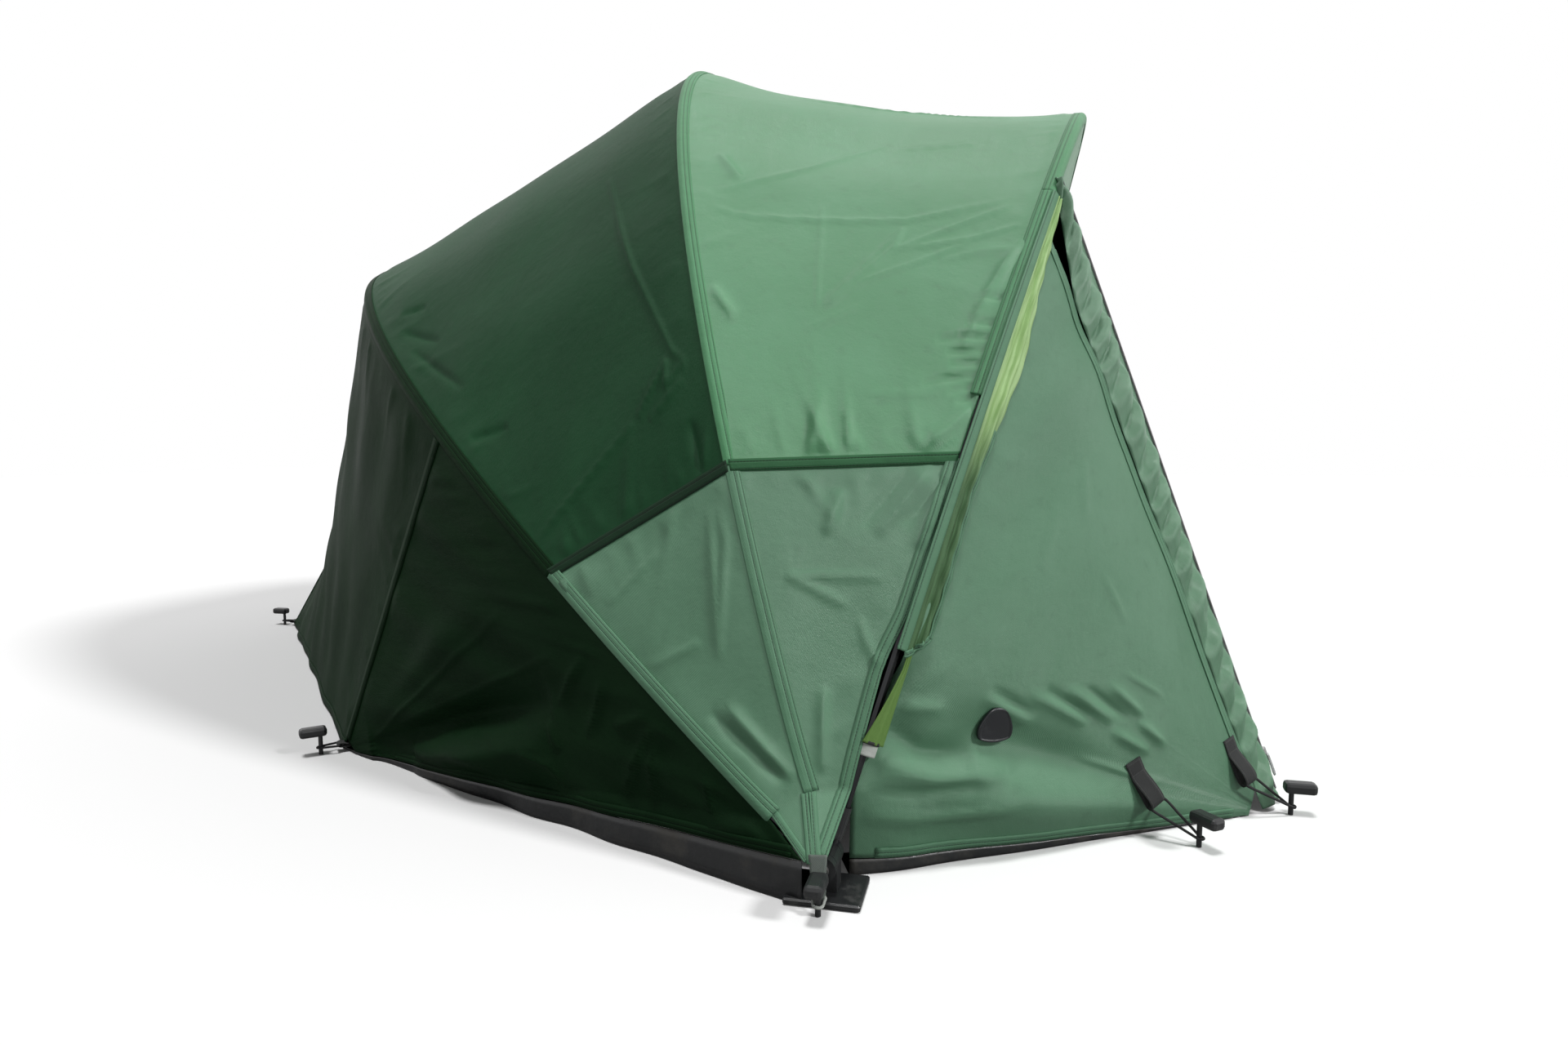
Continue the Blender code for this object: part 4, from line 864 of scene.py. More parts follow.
for label, side in SIDES.items():
    side_name, back_name = f"side_panel_{label}_cloth", f"back_panel_{label}_cloth"
    start = tip(side, 1)[None] - (side * ROOF_SEAT, 0, 0)
    base = fan(fan_edge(REAR, side, start, CORNER), side_pegs[side], 1.0)
    along, across = runs(base)
    i, j = shares_of(base)
    taper = np.clip((1 - j) * 2.2, 0, 1)
    heights = SIDE_FOLD * folds(SIDE_FOLD_SHARES, i, j) * 4 * j * (1 - j)
    heights += billow(along * (1 - j), across, *SIDE_WAVES, 41 + side) * edge_fade(across, 0.02, 0.12) * taper
    heights += puckers(across, along, *SIDE_PUCKERS, 43 + side, 0.022) * taper
    heights += creased(base, SIDE_CREASES) * edge_fade(across, 0.012, 0.05)
    heights *= edge_fade(along[-1:] - along, 0.0, CORNER_STILL)
    cloth_piece(side_name, raised(base, ROOF_SEAT + heights), back_cloth, "rear_rib",
                [f"rear_leg_{label}", f"side_peg_{label}"])

    stations = np.linspace(CORNER, CROWN, int(1.15 / CELL))
    base = between(REAR.at(stations, side), back_hem(stations, side), spaced(1.2, CELL))
    base[-1, :, 0] += side * SEAM_GAP
    along, across = runs(base)
    i, j = shares_of(base)
    heights = billow(along, across, *BACK_WAVES, 45 + side) * edge_fade(across, 0.01, 0.10) * np.clip(
        12 * i * (1 - i), 0, 1)
    heights += puckers(across, along, *BACK_POLE_PUCKERS, 47 + side)
    heights += puckers(along, across, *BACK_CORNER_PUCKERS, 49 + side) * edge_fade(across, 0.05, 0.12)
    heights *= edge_fade(along, 0.0, CORNER_STILL)
    cloth_piece(back_name, raised(base, ROOF_SEAT + heights), back_cloth, "rear_rib",
                ["rear_crown", f"side_peg_{label}", "tail_peg"])

    channel(f"channel_rear_lower_{label}", REAR, lower_stations, side, (MIDDLE, side_pegs[side]),
            rear_lower_channel, "rear_rib", [f"rear_leg_{label}"],
            (CHANNEL_WIDTH, CHANNEL_NARROW), seat=CHANNEL_SEAT - 0.0004)
    edge_tape(f"hem_side_{label}", side_name, "first_row", FREE_HEM_WIDTH, hem_cloth, "rear_rib",
              slice(2, -14))
    edge_tape(f"hem_back_{label}", back_name, "last_column", FREE_HEM_WIDTH, hem_cloth, "rear_rib")
    # The corner seam bridges the side's last row and the back's first, from the pole down to the peg
    shares = np.linspace(0.01, 0.995, 150)
    columns = []
    for cloth, row, reach in ((side_name, -1, 1.0), (back_name, 0, FAN_END)):
        edge, inward, out = row_of(grids[cloth], row, shares * reach)
        columns += [edge + inward * CORNER_SEAM_WIDTH + out * FELL_LIFT, edge + out * FELL_LIFT]
    cloth_piece(f"seam_back_{label}", np.stack([columns[0], columns[1], columns[3], columns[2]], axis=1),
                hem_cloth, "rear_rib", [side_name, back_name], TAPE)

# The two back faces meet in a felled seam down the middle
middle = sum(grids[f"back_panel_{label}_cloth"][-1] for label in SIDES) / 2 + (0.0, FELL_LIFT, FELL_LIFT)
widths = np.linspace(-BACK_SEAM_HALF_WIDTH, BACK_SEAM_HALF_WIDTH, 5)
cloth_piece("seam_back_middle", middle[:, None] + widths[:, None] * (1.0, 0.0, 0.0), back_seam, "rear_rib",
            [f"back_panel_{label}_cloth" for label in SIDES], TAPE)


# Front wings
# A grey-green triangle on each side runs from the front hoop to its peg beside the door. Near the hub
# its edge passes behind the pole. Its hem and its front seam are turned in and stitched twice.

WING_PEG = (0.850, -0.553)
WING_START = (1.180, -0.018)
WING_START_HEIGHT = 0.022
WING_WAVES = (0.26, 0.0030)
WING_PUCKERS = (0.055, 0.070, 0.011, 0.0035)
WING_FOLD = 0.018
WING_FOLD_SHARES = ((0.10, 0.07, 0.35, 0.30, 1.0), (0.22, 0.06, 0.30, 0.22, -1.0))
WING_EDGE_REACH = 0.0115
BEHIND_STATION = 1.2
OUTSIDE_STATION = 4.0
WING_CREASES = (
    (0.007, 0.0062, (300, 220, 284, 350), (345, 330, 343, 480), (405, 420, 392, 550), (490, 520, 480, 620),
     (360, 560, 352, 660), (445, 620, 430, 700)),
    (0.006, -0.005, (318, 240, 306, 340), (375, 360, 368, 490), (440, 460, 430, 580)),
    (0.02, -0.017, (205, 20, 170, 120, 176, 240)),
    (0.014, 0.012, (150, 40, 135, 160, 165, 330)),
    (0.009, -0.007, (100, 10, 105, 140, 135, 270)),
    (0.008, 0.006, (65, 10, 64, 140, 95, 360), (235, 40, 255, 140)),
    (0.0045, 0.0026, (706, 420, 676, 510), (716, 260, 588, 260), (833, 290, 745, 330), (265, 60, 343, 120),
     (560, 550, 620, 660), (240, 500, 235, 720)),
)
wing_hem = woven("wing_hem", LOWER_GREEN, 0.48, 1.4, hem_rows), "grey_green_cloth"
wing_hem_rows = {}

for label, side in SIDES.items():
    name = f"front_wing_{label}_cloth"
    base = fan(fan_edge(FRONT, side, ground(side, WING_START, WING_START_HEIGHT)[None], WING_TOP),
               ground(side, WING_PEG), 0.62)
    along, across = runs(base)
    i, j = shares_of(base)
    taper = np.clip((1 - j) * 2.2, 0, 1)
    hem_count = len(base) - int(length_of(FRONT.at(np.linspace(0, WING_TOP, 50), side)) / CELL)
    wing_hem_rows[label] = hem_count
    station = np.concatenate([np.zeros(hem_count), np.linspace(0, WING_TOP, len(base) - hem_count)])
    # The edge turns round the pole, from behind it near the hub to its outside further up
    turn = math.pi * (1 - edge_fade(station, BEHIND_STATION, OUTSIDE_STATION))
    normals = outward(base)
    ahead = unit(base[:, 1] - base[:, 0])
    reach = np.where(station > OUTSIDE_STATION, ROOF_SEAT, WING_EDGE_REACH) * np.clip(station / 0.5, 0, 1)
    edge = (normals[:, 0] * np.cos(turn)[:, None] + ahead * np.sin(turn)[:, None]) * reach[:, None]
    near = (np.clip(1 - across / 0.10, 0, 1) ** 2)[..., None]
    base = base + edge[:, None] * near + normals * ROOF_SEAT * (1 - near)
    heights = WING_FOLD * folds(WING_FOLD_SHARES, i, j) * 4 * j * (1 - j)
    heights += billow(along * (1 - j), across, *WING_WAVES, 51 + side) * edge_fade(across, 0.03, 0.12) * taper
    heights += puckers(across, along, *WING_PUCKERS, 53 + side, 0.045) * taper
    heights += creased(base, WING_CREASES) * edge_fade(across, 0.004, 0.03)
    cloth_piece(name, raised(base, heights), lower_cloth, "front_rib",
                [f"front_leg_{label}", f"wing_peg_{label}"])
    for kind, which in (("hem", "first_row"), ("seam", "last_row")):
        edge_tape(f"{kind}_wing_{label}", name, which, FREE_HEM_WIDTH, wing_hem, "front_rib",
                  slice(4, -4))


# Gathered strips
# Beside the door a narrow strip is gathered along its length and ends in the zip's tape. At its top it
# stands off the wing and leaves a small vent.

DOOR_FOOT = (0.770, -0.590)
VENT_SHARE = 0.14
VENT_OPEN_SHARE = 0.75
ZIP_TAPE = 0.014
STRIP_BULGE = 0.012
RUFFLE_DEPTH = 0.009
RUFFLE_PITCH = 0.095
RUFFLE_SLANT = 0.060
STRIP_ROWS = 260
STRIP_COLUMNS = 22
STRIP_SEAT = 0.0082
# The strip is the green cloth, painted lighter and greyer as its sheen
STRIP_SHEEN_GREEN = (0.090, 0.215, 0.120), (0.125, 0.265, 0.160)
STRIP_WAVES = (0.03, 0.0012)


def pole_place(station, side):
    return FRONT.at(np.array([station], float), side)[0]


def strip_edges(side, shares):
    """The strip's two edges, the wing's front seam and the zip, from the pole down to the ground."""
    pole_a, pole_b = pole_place(WING_TOP, side), pole_place(DOOR_TOP, side)
    shares = np.asarray(shares)[:, None]
    seam = pole_a + (ground(side, WING_PEG) - pole_a) * shares
    seam = seam + (pole_b - pole_a) * VENT_OPEN_SHARE * np.maximum(0, 1 - shares / VENT_SHARE)
    return seam, pole_b + (ground(side, DOOR_FOOT) - pole_b) * shares


def zip_frame(side):
    """The zip's run up from the ground, the way across its tape and the way that it faces."""
    seam, middle = (edge[0] for edge in strip_edges(side, [0.5]))
    along = unit(pole_place(DOOR_TOP, side) - ground(side, DOOR_FOOT))
    facing = unit(np.cross(along, middle - seam))
    facing *= -1 if facing[1] > 0 else 1
    across = np.cross(facing, along)
    return along, across if across @ (middle - seam) > 0 else -across, facing


strip_cloth = woven("strip_cloth", STRIP_SHEEN_GREEN, 0.36, gloss=0.6), "green_cloth"
for label, side in SIDES.items():
    along_way, across_way, facing = zip_frame(side)
    shares = np.linspace(0, 1, STRIP_ROWS)
    seam, zip_line = strip_edges(side, shares)
    tape = zip_line - across_way * ZIP_TAPE
    base = between(seam + unit(tape - seam) * SEAM_GAP, tape, np.linspace(0, 1, STRIP_COLUMNS))
    along, across = runs(base)
    i, j = shares_of(base)
    draw = np.random.default_rng(61 + side)
    drift = np.interp(shares, np.linspace(0, 1, 12), draw.uniform(-0.35, 0.35, 12))[:, None]
    phase = (along + j * RUFFLE_SLANT) / (RUFFLE_PITCH * 0.55) + drift
    wave = np.sin(2 * math.pi * phase) + 0.35 * np.sin(4 * math.pi * phase + 0.8)
    small = billow(along, across, *STRIP_WAVES, 63 + side)
    heights = STRIP_SEAT + 4 * j * (1 - j) * (STRIP_BULGE + RUFFLE_DEPTH * 0.8 * wave + small)
    tape_rows = between(tape + facing * STRIP_SEAT, zip_line + facing * STRIP_SEAT, np.linspace(0, 1, 4)[1:])
    cloth_piece(f"zip_strip_{label}_cloth", np.concatenate([raised(base, heights), tape_rows], axis=1),
                strip_cloth, "front_rib", [f"front_leg_{label}", f"front_wing_{label}_cloth"])


# Brow and door
# The brow is flat in the front hoop's plane, down to a straight seam between the tops of the zips. The
# door hangs from that seam, flat between the two zips, and swings out on it.

BROW_CORNER_SHARE = 0.15
DOOR_DROP = 0.0058
DOOR_MARGIN = 0.0115
DOOR_TAPE_OVER = 0.0056
BROW_WAVES = (0.2, 0.0025)
DOOR_WAVES = (0.30, 0.0040)
DOOR_SIDE_PUCKERS = (0.070, 0.080, 0.012, 0.0035)
DOOR_END_PUCKERS = (0.045, 0.035, 0.010, 0.0030)
DOOR_CREASES = (
    (0.005, 0.0036, (50, 100, 220, 300, 400, 420), (950, 120, 800, 280, 660, 330),
     (80, 900, 240, 700, 360, 630), (930, 930, 740, 760), (300, 30, 340, 240), (630, 40, 580, 200),
     (460, 550, 700, 600)),
    (0.011, -0.006, (30, 960, 160, 800), (970, 950, 860, 840), (450, 990, 480, 840)),
    (0.009, 0.005, (20, 800, 140, 720), (980, 740, 880, 660), (550, 980, 600, 880)),
)


def narrowed(grid, margin):
    """The grid with its first and last rows drawn in."""
    part = margin / np.linalg.norm(grid[1] - grid[0], axis=-1).mean()
    count = len(grid) - 1
    shares = np.linspace(part, count - part, len(grid)) / count
    return sampled(grid, *np.meshgrid(shares, np.linspace(0, 1, grid.shape[1]), indexing="ij"))


door_hem = wing_hem[0], "green_cloth"
door_tops = [pole_place(DOOR_TOP, side) for side in SIDES.values()]
door_feet = [ground(side, DOOR_FOOT) for side in SIDES.values()]
pole = FRONT.at(np.linspace(DOOR_TOP + BROW_CORNER_SHARE, 2 * CROWN - DOOR_TOP - BROW_CORNER_SHARE, 220), -1)
low_edge = pole.copy()
low_edge[:, 1:] = door_tops[0][1:]
base = narrowed(between(pole, low_edge, np.linspace(0, 1, 34)), SEAM_GAP)
along, across = runs(base)
i, j = shares_of(base)
heights = STRIP_SEAT + billow(along, across, *BROW_WAVES, 71) * np.clip(10 * j * (1 - j), 0, 1)
cloth_piece("front_brow_cloth", raised(base, heights * np.clip(12 * i * (1 - i), 0.6, 1)), roof_cloth,
            "front_rib", ["front_crown"])
edge_tape("seam_brow", "front_brow_cloth", "last_column", FREE_HEM_WIDTH, door_hem, "front_rib", slice(8, -8))

shares = np.linspace(0, 1, 170)[:, None]
top_edge, foot_edge = (first + (last - first) * shares for first, last in (door_tops, door_feet))
drop = DOOR_DROP / np.linalg.norm(door_feet[0] - door_tops[0])
base = narrowed(between(top_edge, foot_edge, np.linspace(drop, 1, 110)), DOOR_MARGIN)
along, across = runs(base)
i, j = shares_of(base)
from_sides = np.clip(12 * i * (1 - i), 0, 1)
inner = from_sides * np.clip(14 * j * (1 - j), 0, 1)
heights = STRIP_SEAT + (billow(along, across, *DOOR_WAVES, 73) + creased(base, DOOR_CREASES)) * inner
heights += puckers(across, along, *DOOR_SIDE_PUCKERS, 75) * from_sides
heights += puckers(np.minimum(along, along[-1:] - along), across, *DOOR_END_PUCKERS, 77, 0.014)
cloth_piece("front_door_cloth", raised(base, heights), roof_cloth, "door", ["front_brow_cloth"])
for name, which, width, keep, over in (
        ("door_tape_first_row", "first_row", ZIP_TAPE, slice(3, -1), DOOR_TAPE_OVER),
        ("door_tape_last_row", "last_row", ZIP_TAPE, slice(3, -1), DOOR_TAPE_OVER),
        ("door_hem", "last_column", FREE_HEM_WIDTH, slice(3, -3), 0.0)):
    edge_tape(name, "front_door_cloth", which, width, door_hem, "door", keep, over)


# Zips
# A spiral zip of black nylon runs up each side of the door from the ground. Its zinc slider has a
# stamped pull that hangs from a bridge.

COIL_HALF_WIDTH = 0.0028
COIL_HEIGHT = 0.0011
COIL_PITCH = 0.0024
COIL_STEPS_PER_TURN = 4
COIL_LIFT = 0.0012
COIL_START = 0.004
PULL_LENGTH = 0.034
PULL_HALF_WIDTH = 0.0045
PULL_THICKNESS = 0.0016
PULL_LIFT = 0.0042
ZIP_BLACK = (0.016, 0.016, 0.017)
ZIP_BLACK_WORN = (0.045, 0.045, 0.044)


def drawn_pull(at, along, across, facing):
    """The pull's outline: narrow at the bridge, wider at its rounded end, with a raised rim."""
    rows = []
    for share in np.linspace(0, 1, 14):
        rounded = math.sqrt(max(0.02, 1 - max(0, (share - 0.75) / 0.27) ** 2))
        half = PULL_HALF_WIDTH * (0.55 + 0.45 * share) * rounded
        rim = [0.0004 if abs(part) > 0.7 else 0.0 for part in np.linspace(-1, 1, 9)]
        rows.append([at - along * PULL_LENGTH * share + across * half * part + facing * (PULL_LIFT + high)
                     for part, high in zip(np.linspace(-1, 1, 9), rim)])
    return np.array(rows)


coil_skin = marked("zip_coil", ZIP_BLACK, ZIP_BLACK_WORN, NYLON_MARKS), "black_webbing"
refinish("zip_slider", zinc_steel)
for label, side in SIDES.items():
    along_way, across_way, facing = zip_frame(side)
    foot = ground(side, DOOR_FOOT)
    length = np.linalg.norm(pole_place(DOOR_TOP, side) - foot) - 2 * COIL_START
    steps = COIL_START + length * np.linspace(0, 1, int(length / COIL_PITCH) * COIL_STEPS_PER_TURN)
    middle = foot + along_way * steps[:, None] + (
        facing * (STRIP_SEAT + COIL_LIFT) + across_way * COIL_HALF_WIDTH)
    turns = 2 * math.pi * steps / COIL_PITCH
    rows = []
    for part in np.linspace(-1, 1, 7):
        high = COIL_HEIGHT * (math.sqrt(1 - 0.9 * part * part) + 0.45 * np.sin(turns + 1.5 * part))
        rows.append(middle + across_way * COIL_HALF_WIDTH * part + facing * high[:, None])
    cloth_piece(f"zip_coil_{label}", np.stack(rows, axis=1), coil_skin, "front_rib", thickness=TAPE)
    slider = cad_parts[f"zip_slider_{label}"]
    at = np.array([slider.matrix_world @ Vector(corner) for corner in slider.bound_box]).mean(axis=0)
    cloth_piece(f"zip_pull_{label}", drawn_pull(at, along_way, across_way, facing), (zinc_steel, "steel"),
                f"zip_slider_{label}", thickness=PULL_THICKNESS)


# Pole sleeves
# On each side a stitched band holds the wing's edge along the front pole. A flap of thin lining cloth
# hangs from it over the wing, painted bright yellow-green at its top as light shining through it and darker
# lower down and beside the pole as shade, and its lower end wraps the pole in a cuff.

# The flap's bright yellow-green is painted light shining through the lining, its low colour painted shade
SLEEVE_BACKLIT_GREEN = (0.40, 0.60, 0.27), (0.26, 0.44, 0.15)
SLEEVE_SHADED_GREEN = (0.075, 0.170, 0.070), (0.040, 0.100, 0.035)
# The sleeve's end is painted dimmer yellow-green, as light shining through the lining
SLEEVE_END_BACKLIT_GREEN = (0.105, 0.210, 0.045), (0.150, 0.280, 0.060)
CUFF_GREY = (0.42, 0.45, 0.42), (0.60, 0.62, 0.58)
ELASTIC_BLACK = (0.016, 0.016, 0.017), (0.030, 0.030, 0.030)
BAND_FROM, BAND_TO = -0.0060, 0.0120
BAND_SEAT = 0.0134
BAND_CURVE = 16.0
band_rows = (0.0035, 0.0145)
FLAP_FROM = 0.0070
FLAP_SEAT = 0.0118
# How far the flap reaches from the pole at each station, and the stations of its slanted lower end
FLAP_STATIONS = (2.7, 3.5, 4.5, 5.5, 6.5, 7.5, 8.3, 9.0, 9.7, 10.5, 11.3, 12.0, 12.6)
FLAP_REACHES = (0.034, 0.035, 0.034, 0.031, 0.028, 0.032, 0.038, 0.043, 0.037, 0.030, 0.026, 0.022, 0.016)
FLAP_END = 2.75
BAND_END = FLAP_END + 0.1
FLAP_END_SLANT = 0.50
FLAP_TOP = 12.6
FLAP_FOLD = 0.0022
FLAP_LIFT = 0.0010
FLAP_RIPPLE = 0.0012
HEMMED_ROWS = slice(0, 95)
HEM_OVER = 0.001
SLEEVE_HEM = 0.006
SLEEVE_END_HEM = 0.007
END_STATIONS = (0.95, 3.3)
END_FROM = (-0.0095, 0.0105)
END_TO = 0.0215
END_SEAT = 0.0128
END_CURVE = 26.0
END_CREST = 0.004
END_RIPPLE = 0.0010
CUFF_STATIONS = (0.70, 1.0)
CUFF_TURN = 115
CUFF_RADIUS = 0.0122
ELASTIC_BAND_RADIUS = CUFF_RADIUS + 0.0012
CUFF_OFFSET = 0.0035


def on_pole(stations, side, widths, highs):
    """Places over the front pole, by their widths across the wing and their heights out of it."""
    line = FRONT.at(stations, side)
    along = unit(FRONT.at(stations + 0.05, side) - FRONT.at(stations - 0.05, side))
    way = ground(side, WING_PEG) - line
    way = unit(way - (way * along).sum(axis=-1, keepdims=True) * along)
    out = np.cross(along, way)
    out = out * np.sign(out[..., :1] * side)
    return line + way * widths[..., None] + out * highs[..., None]


def lining(name, high, low):
    """The sleeve's cloth, painted bright yellow-green at the top of the pole as light shining through it and
    darker further down as shade.
    """
    made, surface, wire = new_finish(name, 0.55, {"Specular IOR Level": 0.3, "Sheen Weight": 0.05})
    cut, over, along = cut_ways(wire)
    drawn_out = wire.add("ShaderNodeVectorMath", {"operation": "MULTIPLY"}, {0: cut, 1: (1.0, 0.06, 1.0)})
    streak = step(wire, noise(wire, drawn_out, 160.0, 3.0), 0.40, 0.62)
    down = step(wire, along, 0.20, 0.36)
    tone = mixed(wire, down, mixed(wire, streak, *low), mixed(wire, streak, *high))
    # Beside the pole the lining is painted darker as shade
    inner = 1 - step(wire, over, 0.0, 0.010)
    mixed(wire, inner * (1 - down * 0.6) * 0.7, tone, low[1]).into(surface, "Base Color")
    height = thread_grid(wire, over, along) * 0.4 + streak * 1.2 + noise(wire, cut, 60.0, 3.0) * 3.0
    bump(wire, surface, height, 0.0006, 0.5)
    return made


band_cloth = woven("band_cloth", LOWER_GREEN, 0.48, 1.4, band_rows), "grey_green_cloth"
sleeve_cloth = lining("sleeve_cloth", SLEEVE_BACKLIT_GREEN, SLEEVE_SHADED_GREEN), "sleeve_cloth"
end_cloth = woven("sleeve_end_cloth", SLEEVE_END_BACKLIT_GREEN, 0.55), "sleeve_cloth"
cuff_cloth = woven("cuff_cloth", CUFF_GREY, 0.60), "grey_webbing"
elastic_skin = woven("elastic_skin", ELASTIC_BLACK, 0.70, 2.0)
for label, side in SIDES.items():
    stations, widths = np.linspace(BAND_END, FLAP_TOP, 240)[:, None], np.linspace(BAND_FROM, BAND_TO, 10)
    cloth_piece(f"sleeve_band_{label}", on_pole(stations, side, widths, BAND_SEAT - BAND_CURVE * widths ** 2),
                band_cloth, "front_rib", [f"front_leg_{label}", "front_crown"], TAPE)

    rows, shares = np.linspace(0, 1, 200)[:, None], np.linspace(0, 1, 22)[None]
    ends = FLAP_END + FLAP_END_SLANT * shares ** 1.4
    stations = ends + (FLAP_TOP - ends) * rows
    widths = FLAP_FROM + (np.interp(stations, FLAP_STATIONS, FLAP_REACHES) - FLAP_FROM) * shares
    drift = 0.5 * np.sin(stations * 0.9 + side) + 0.25 * np.sin(stations * 2.3)
    fold = np.sin(2 * math.pi * shares * 1.7 + drift) + 0.4 * np.sin(2 * math.pi * shares * 3.4 + 2 * drift)
    highs = FLAP_SEAT + FLAP_FOLD * fold * np.clip(4 * shares * (1.15 - shares), 0, 1) + FLAP_LIFT * shares
    highs = highs + FLAP_RIPPLE * np.sin(stations * 9.0 + shares * 5.0) * shares
    name = f"pole_sleeve_{label}_cloth"
    cloth_piece(name, on_pole(stations, side, widths, highs), sleeve_cloth, "front_rib",
                [f"front_wing_{label}_cloth"])
    edge_tape(f"sleeve_hem_{label}", name, "last_column", SLEEVE_HEM, band_cloth, "front_rib", HEMMED_ROWS,
              HEM_OVER)
    edge_tape(f"sleeve_end_hem_{label}", name, "first_row", SLEEVE_END_HEM, band_cloth, "front_rib",
              over=HEM_OVER)

    up, shares = np.linspace(0, 1, 60)[:, None], np.linspace(0, 1, 14)[None]
    first = END_FROM[0] + (END_FROM[1] - END_FROM[0]) * np.clip(up * 1.5, 0, 1)
    widths = first + (END_TO - first) * shares
    highs = END_SEAT - END_CURVE * (widths - END_CREST) ** 2
    highs = highs + END_RIPPLE * np.sin(5 * math.pi * shares + up * 3)
    stations = END_STATIONS[0] + (END_STATIONS[1] - END_STATIONS[0]) * up
    cloth_piece(f"sleeve_end_{label}", on_pole(stations, side, widths, highs), end_cloth, "front_rib",
                [f"front_leg_{label}"])

    stations = np.linspace(*CUFF_STATIONS, 10)[:, None]
    angles = np.radians(np.linspace(-CUFF_TURN, CUFF_TURN, 30))
    for kind, rows, radius, skin in (
            ("sleeve_cuff", slice(None), CUFF_RADIUS, cuff_cloth),
            ("sleeve_elastic", slice(-3, None), ELASTIC_BAND_RADIUS, (elastic_skin, "grey_webbing"))):
        cuff = on_pole(stations[rows], side, CUFF_OFFSET + radius * np.sin(angles), radius * np.cos(angles))
        cloth_piece(f"{kind}_{label}", cuff, skin, "front_rib", [f"front_leg_{label}"], TAPE)


# Mud flaps
# Strips of black PVC are sewn under the hems. They drop to the ground and turn in along it.

FLAP_WIDTH = 0.060
FLAP_THICKNESS = 0.0012
FLAP_DROP = 0.0016
PVC_BLACK = (0.012, 0.013, 0.014)
PVC_DUSTY = (0.060, 0.055, 0.045)
PVC_MARKS = ((14.0, 5.0, 0.65), (0.45, 0.75), 0.7, (0.36, 0.3), (60.0, 4.0), (0.0020, 0.6))


def flap_grid(hem, tail):
    """Places down from a hem line to the ground and in along it."""
    run = np.gradient(hem, axis=0)
    inward = unit(np.stack([-run[:, 1], run[:, 0], np.zeros(len(run))], axis=-1))
    inward[((ground(0, (0, TAIL_PEG[1] / 4), 0) - hem) * inward).sum(axis=-1) < 0] *= -1
    if tail:
        inward[-1] = (0, -1, 0)
    floor_line = hem.copy()
    floor_line[:, 2] = FLAP_THICKNESS / 2
    top = hem.copy()
    top[:, 2] = np.maximum(hem[:, 2] - FLAP_DROP, FLAP_THICKNESS / 2)
    drop = between(top, floor_line, np.linspace(0, 1, 5))
    turn_in = between(floor_line, floor_line + inward * FLAP_WIDTH, np.linspace(0, 1, 7)[1:])
    return np.concatenate([drop, turn_in], axis=1)


black_pvc = marked("black_pvc_sheet", PVC_BLACK, PVC_DUSTY, PVC_MARKS), "black_pvc"
for label, side in SIDES.items():
    side_name, wing = f"side_panel_{label}_cloth", f"front_wing_{label}_cloth"
    hem = np.concatenate([grids[side_name][0, :-2], grids[f"back_panel_{label}_cloth"][2:, -1]])
    cloth_piece(f"mud_flap_rear_{label}_pvc", flap_grid(hem, True), black_pvc, "rear_rib", [side_name],
                FLAP_THICKNESS)
    cloth_piece(f"mud_flap_front_{label}_pvc", flap_grid(grids[wing][0], False), black_pvc, "front_rib",
                [wing], FLAP_THICKNESS)


# Ties and badge
# Elastic loops hook over the pegs, each through the fold of a webbing tab: black and sewn to the cloth at
# the hems, grey and narrow at the hubs. A bare rubber badge, moulded with a rim, is sewn on the left wing.

WEBBING = 0.0014
WEBBING_HALF_WIDTH = 0.0125
WEBBING_BLACK = (0.016, 0.017, 0.017), (0.036, 0.038, 0.037)
WEBBING_GREY = (0.110, 0.135, 0.120), (0.200, 0.230, 0.205)
RUBBER_BLACK = (0.012, 0.013, 0.016)
RUBBER_WORN = (0.030, 0.031, 0.034)
THREAD_BLACK = (0.050, 0.052, 0.050)
ELASTIC_RADIUS = 0.0019
LOOP_HEIGHT = 0.012
PEG_RADIUS = 0.0035
LAID_WIDTH = 0.010
# A tab's runs and rises from its sewn end, down its front and round the elastic, and its fold's middle
TAB = (((0.0, 0.0), (0.012, 0.0), (0.022, 0.0004), (0.034, 0.0062), (0.046, 0.0122), (0.056, 0.0148),
               (0.0630, 0.0136), (0.0665, 0.0092), (0.0640, 0.0045), (0.0560, 0.0016), (0.0400, 0.0006),
               (0.0240, -0.0004)), (0.0615, 0.0092))
SHORT_TAB = (((-0.012, -0.0020), (0.0, 0.0), (0.010, 0.0028), (0.016, 0.0034), (0.0200, 0.0004),
                 (0.016, -0.0026), (0.006, -0.0030), (-0.010, -0.0034)), (0.0165, 0.0004))
HUB_TAB = (((0.0, 0.0), (0.020, 0.0), (0.038, 0.0006), (0.0450, 0.0008), (0.0490, -0.0024),
               (0.0450, -0.0056), (0.034, -0.0060)), (0.0455, -0.0024))
HUB_TAB_TOP = (1.2668, 0.004)
HUB_TAB_HEIGHT = 0.062
HUB_TAB_WAY = (0.014, -0.004, -0.050)
HUB_TAB_HALF_WIDTHS = (0.0110, 0.0065)
SHORT_HALF_WIDTHS = (0.010, 0.010)
HEM_TAB_SHARES = ((0.27, 0.63), (0.12, 0.70))
CORNER_TAB_SHARES = ((0.86, 0.885), (0.76, 0.94))
BADGE_SHARES = (0.235, 0.27)
BADGE_HALF_WIDTH = 0.024
BADGE_HALF_HEIGHT = 0.025
BADGE_TAPER = 0.28
BADGE_ROUND = 0.45
BADGE_THICKNESS = 0.0024
BADGE_RIM = 0.0009
BADGE_LIFT = 0.0030
BADGE_SPREAD = 0.022
webbing_rows = (0.0028, 2 * WEBBING_HALF_WIDTH - 0.0028)
webbing_bars = (0.0030, 0.0190)


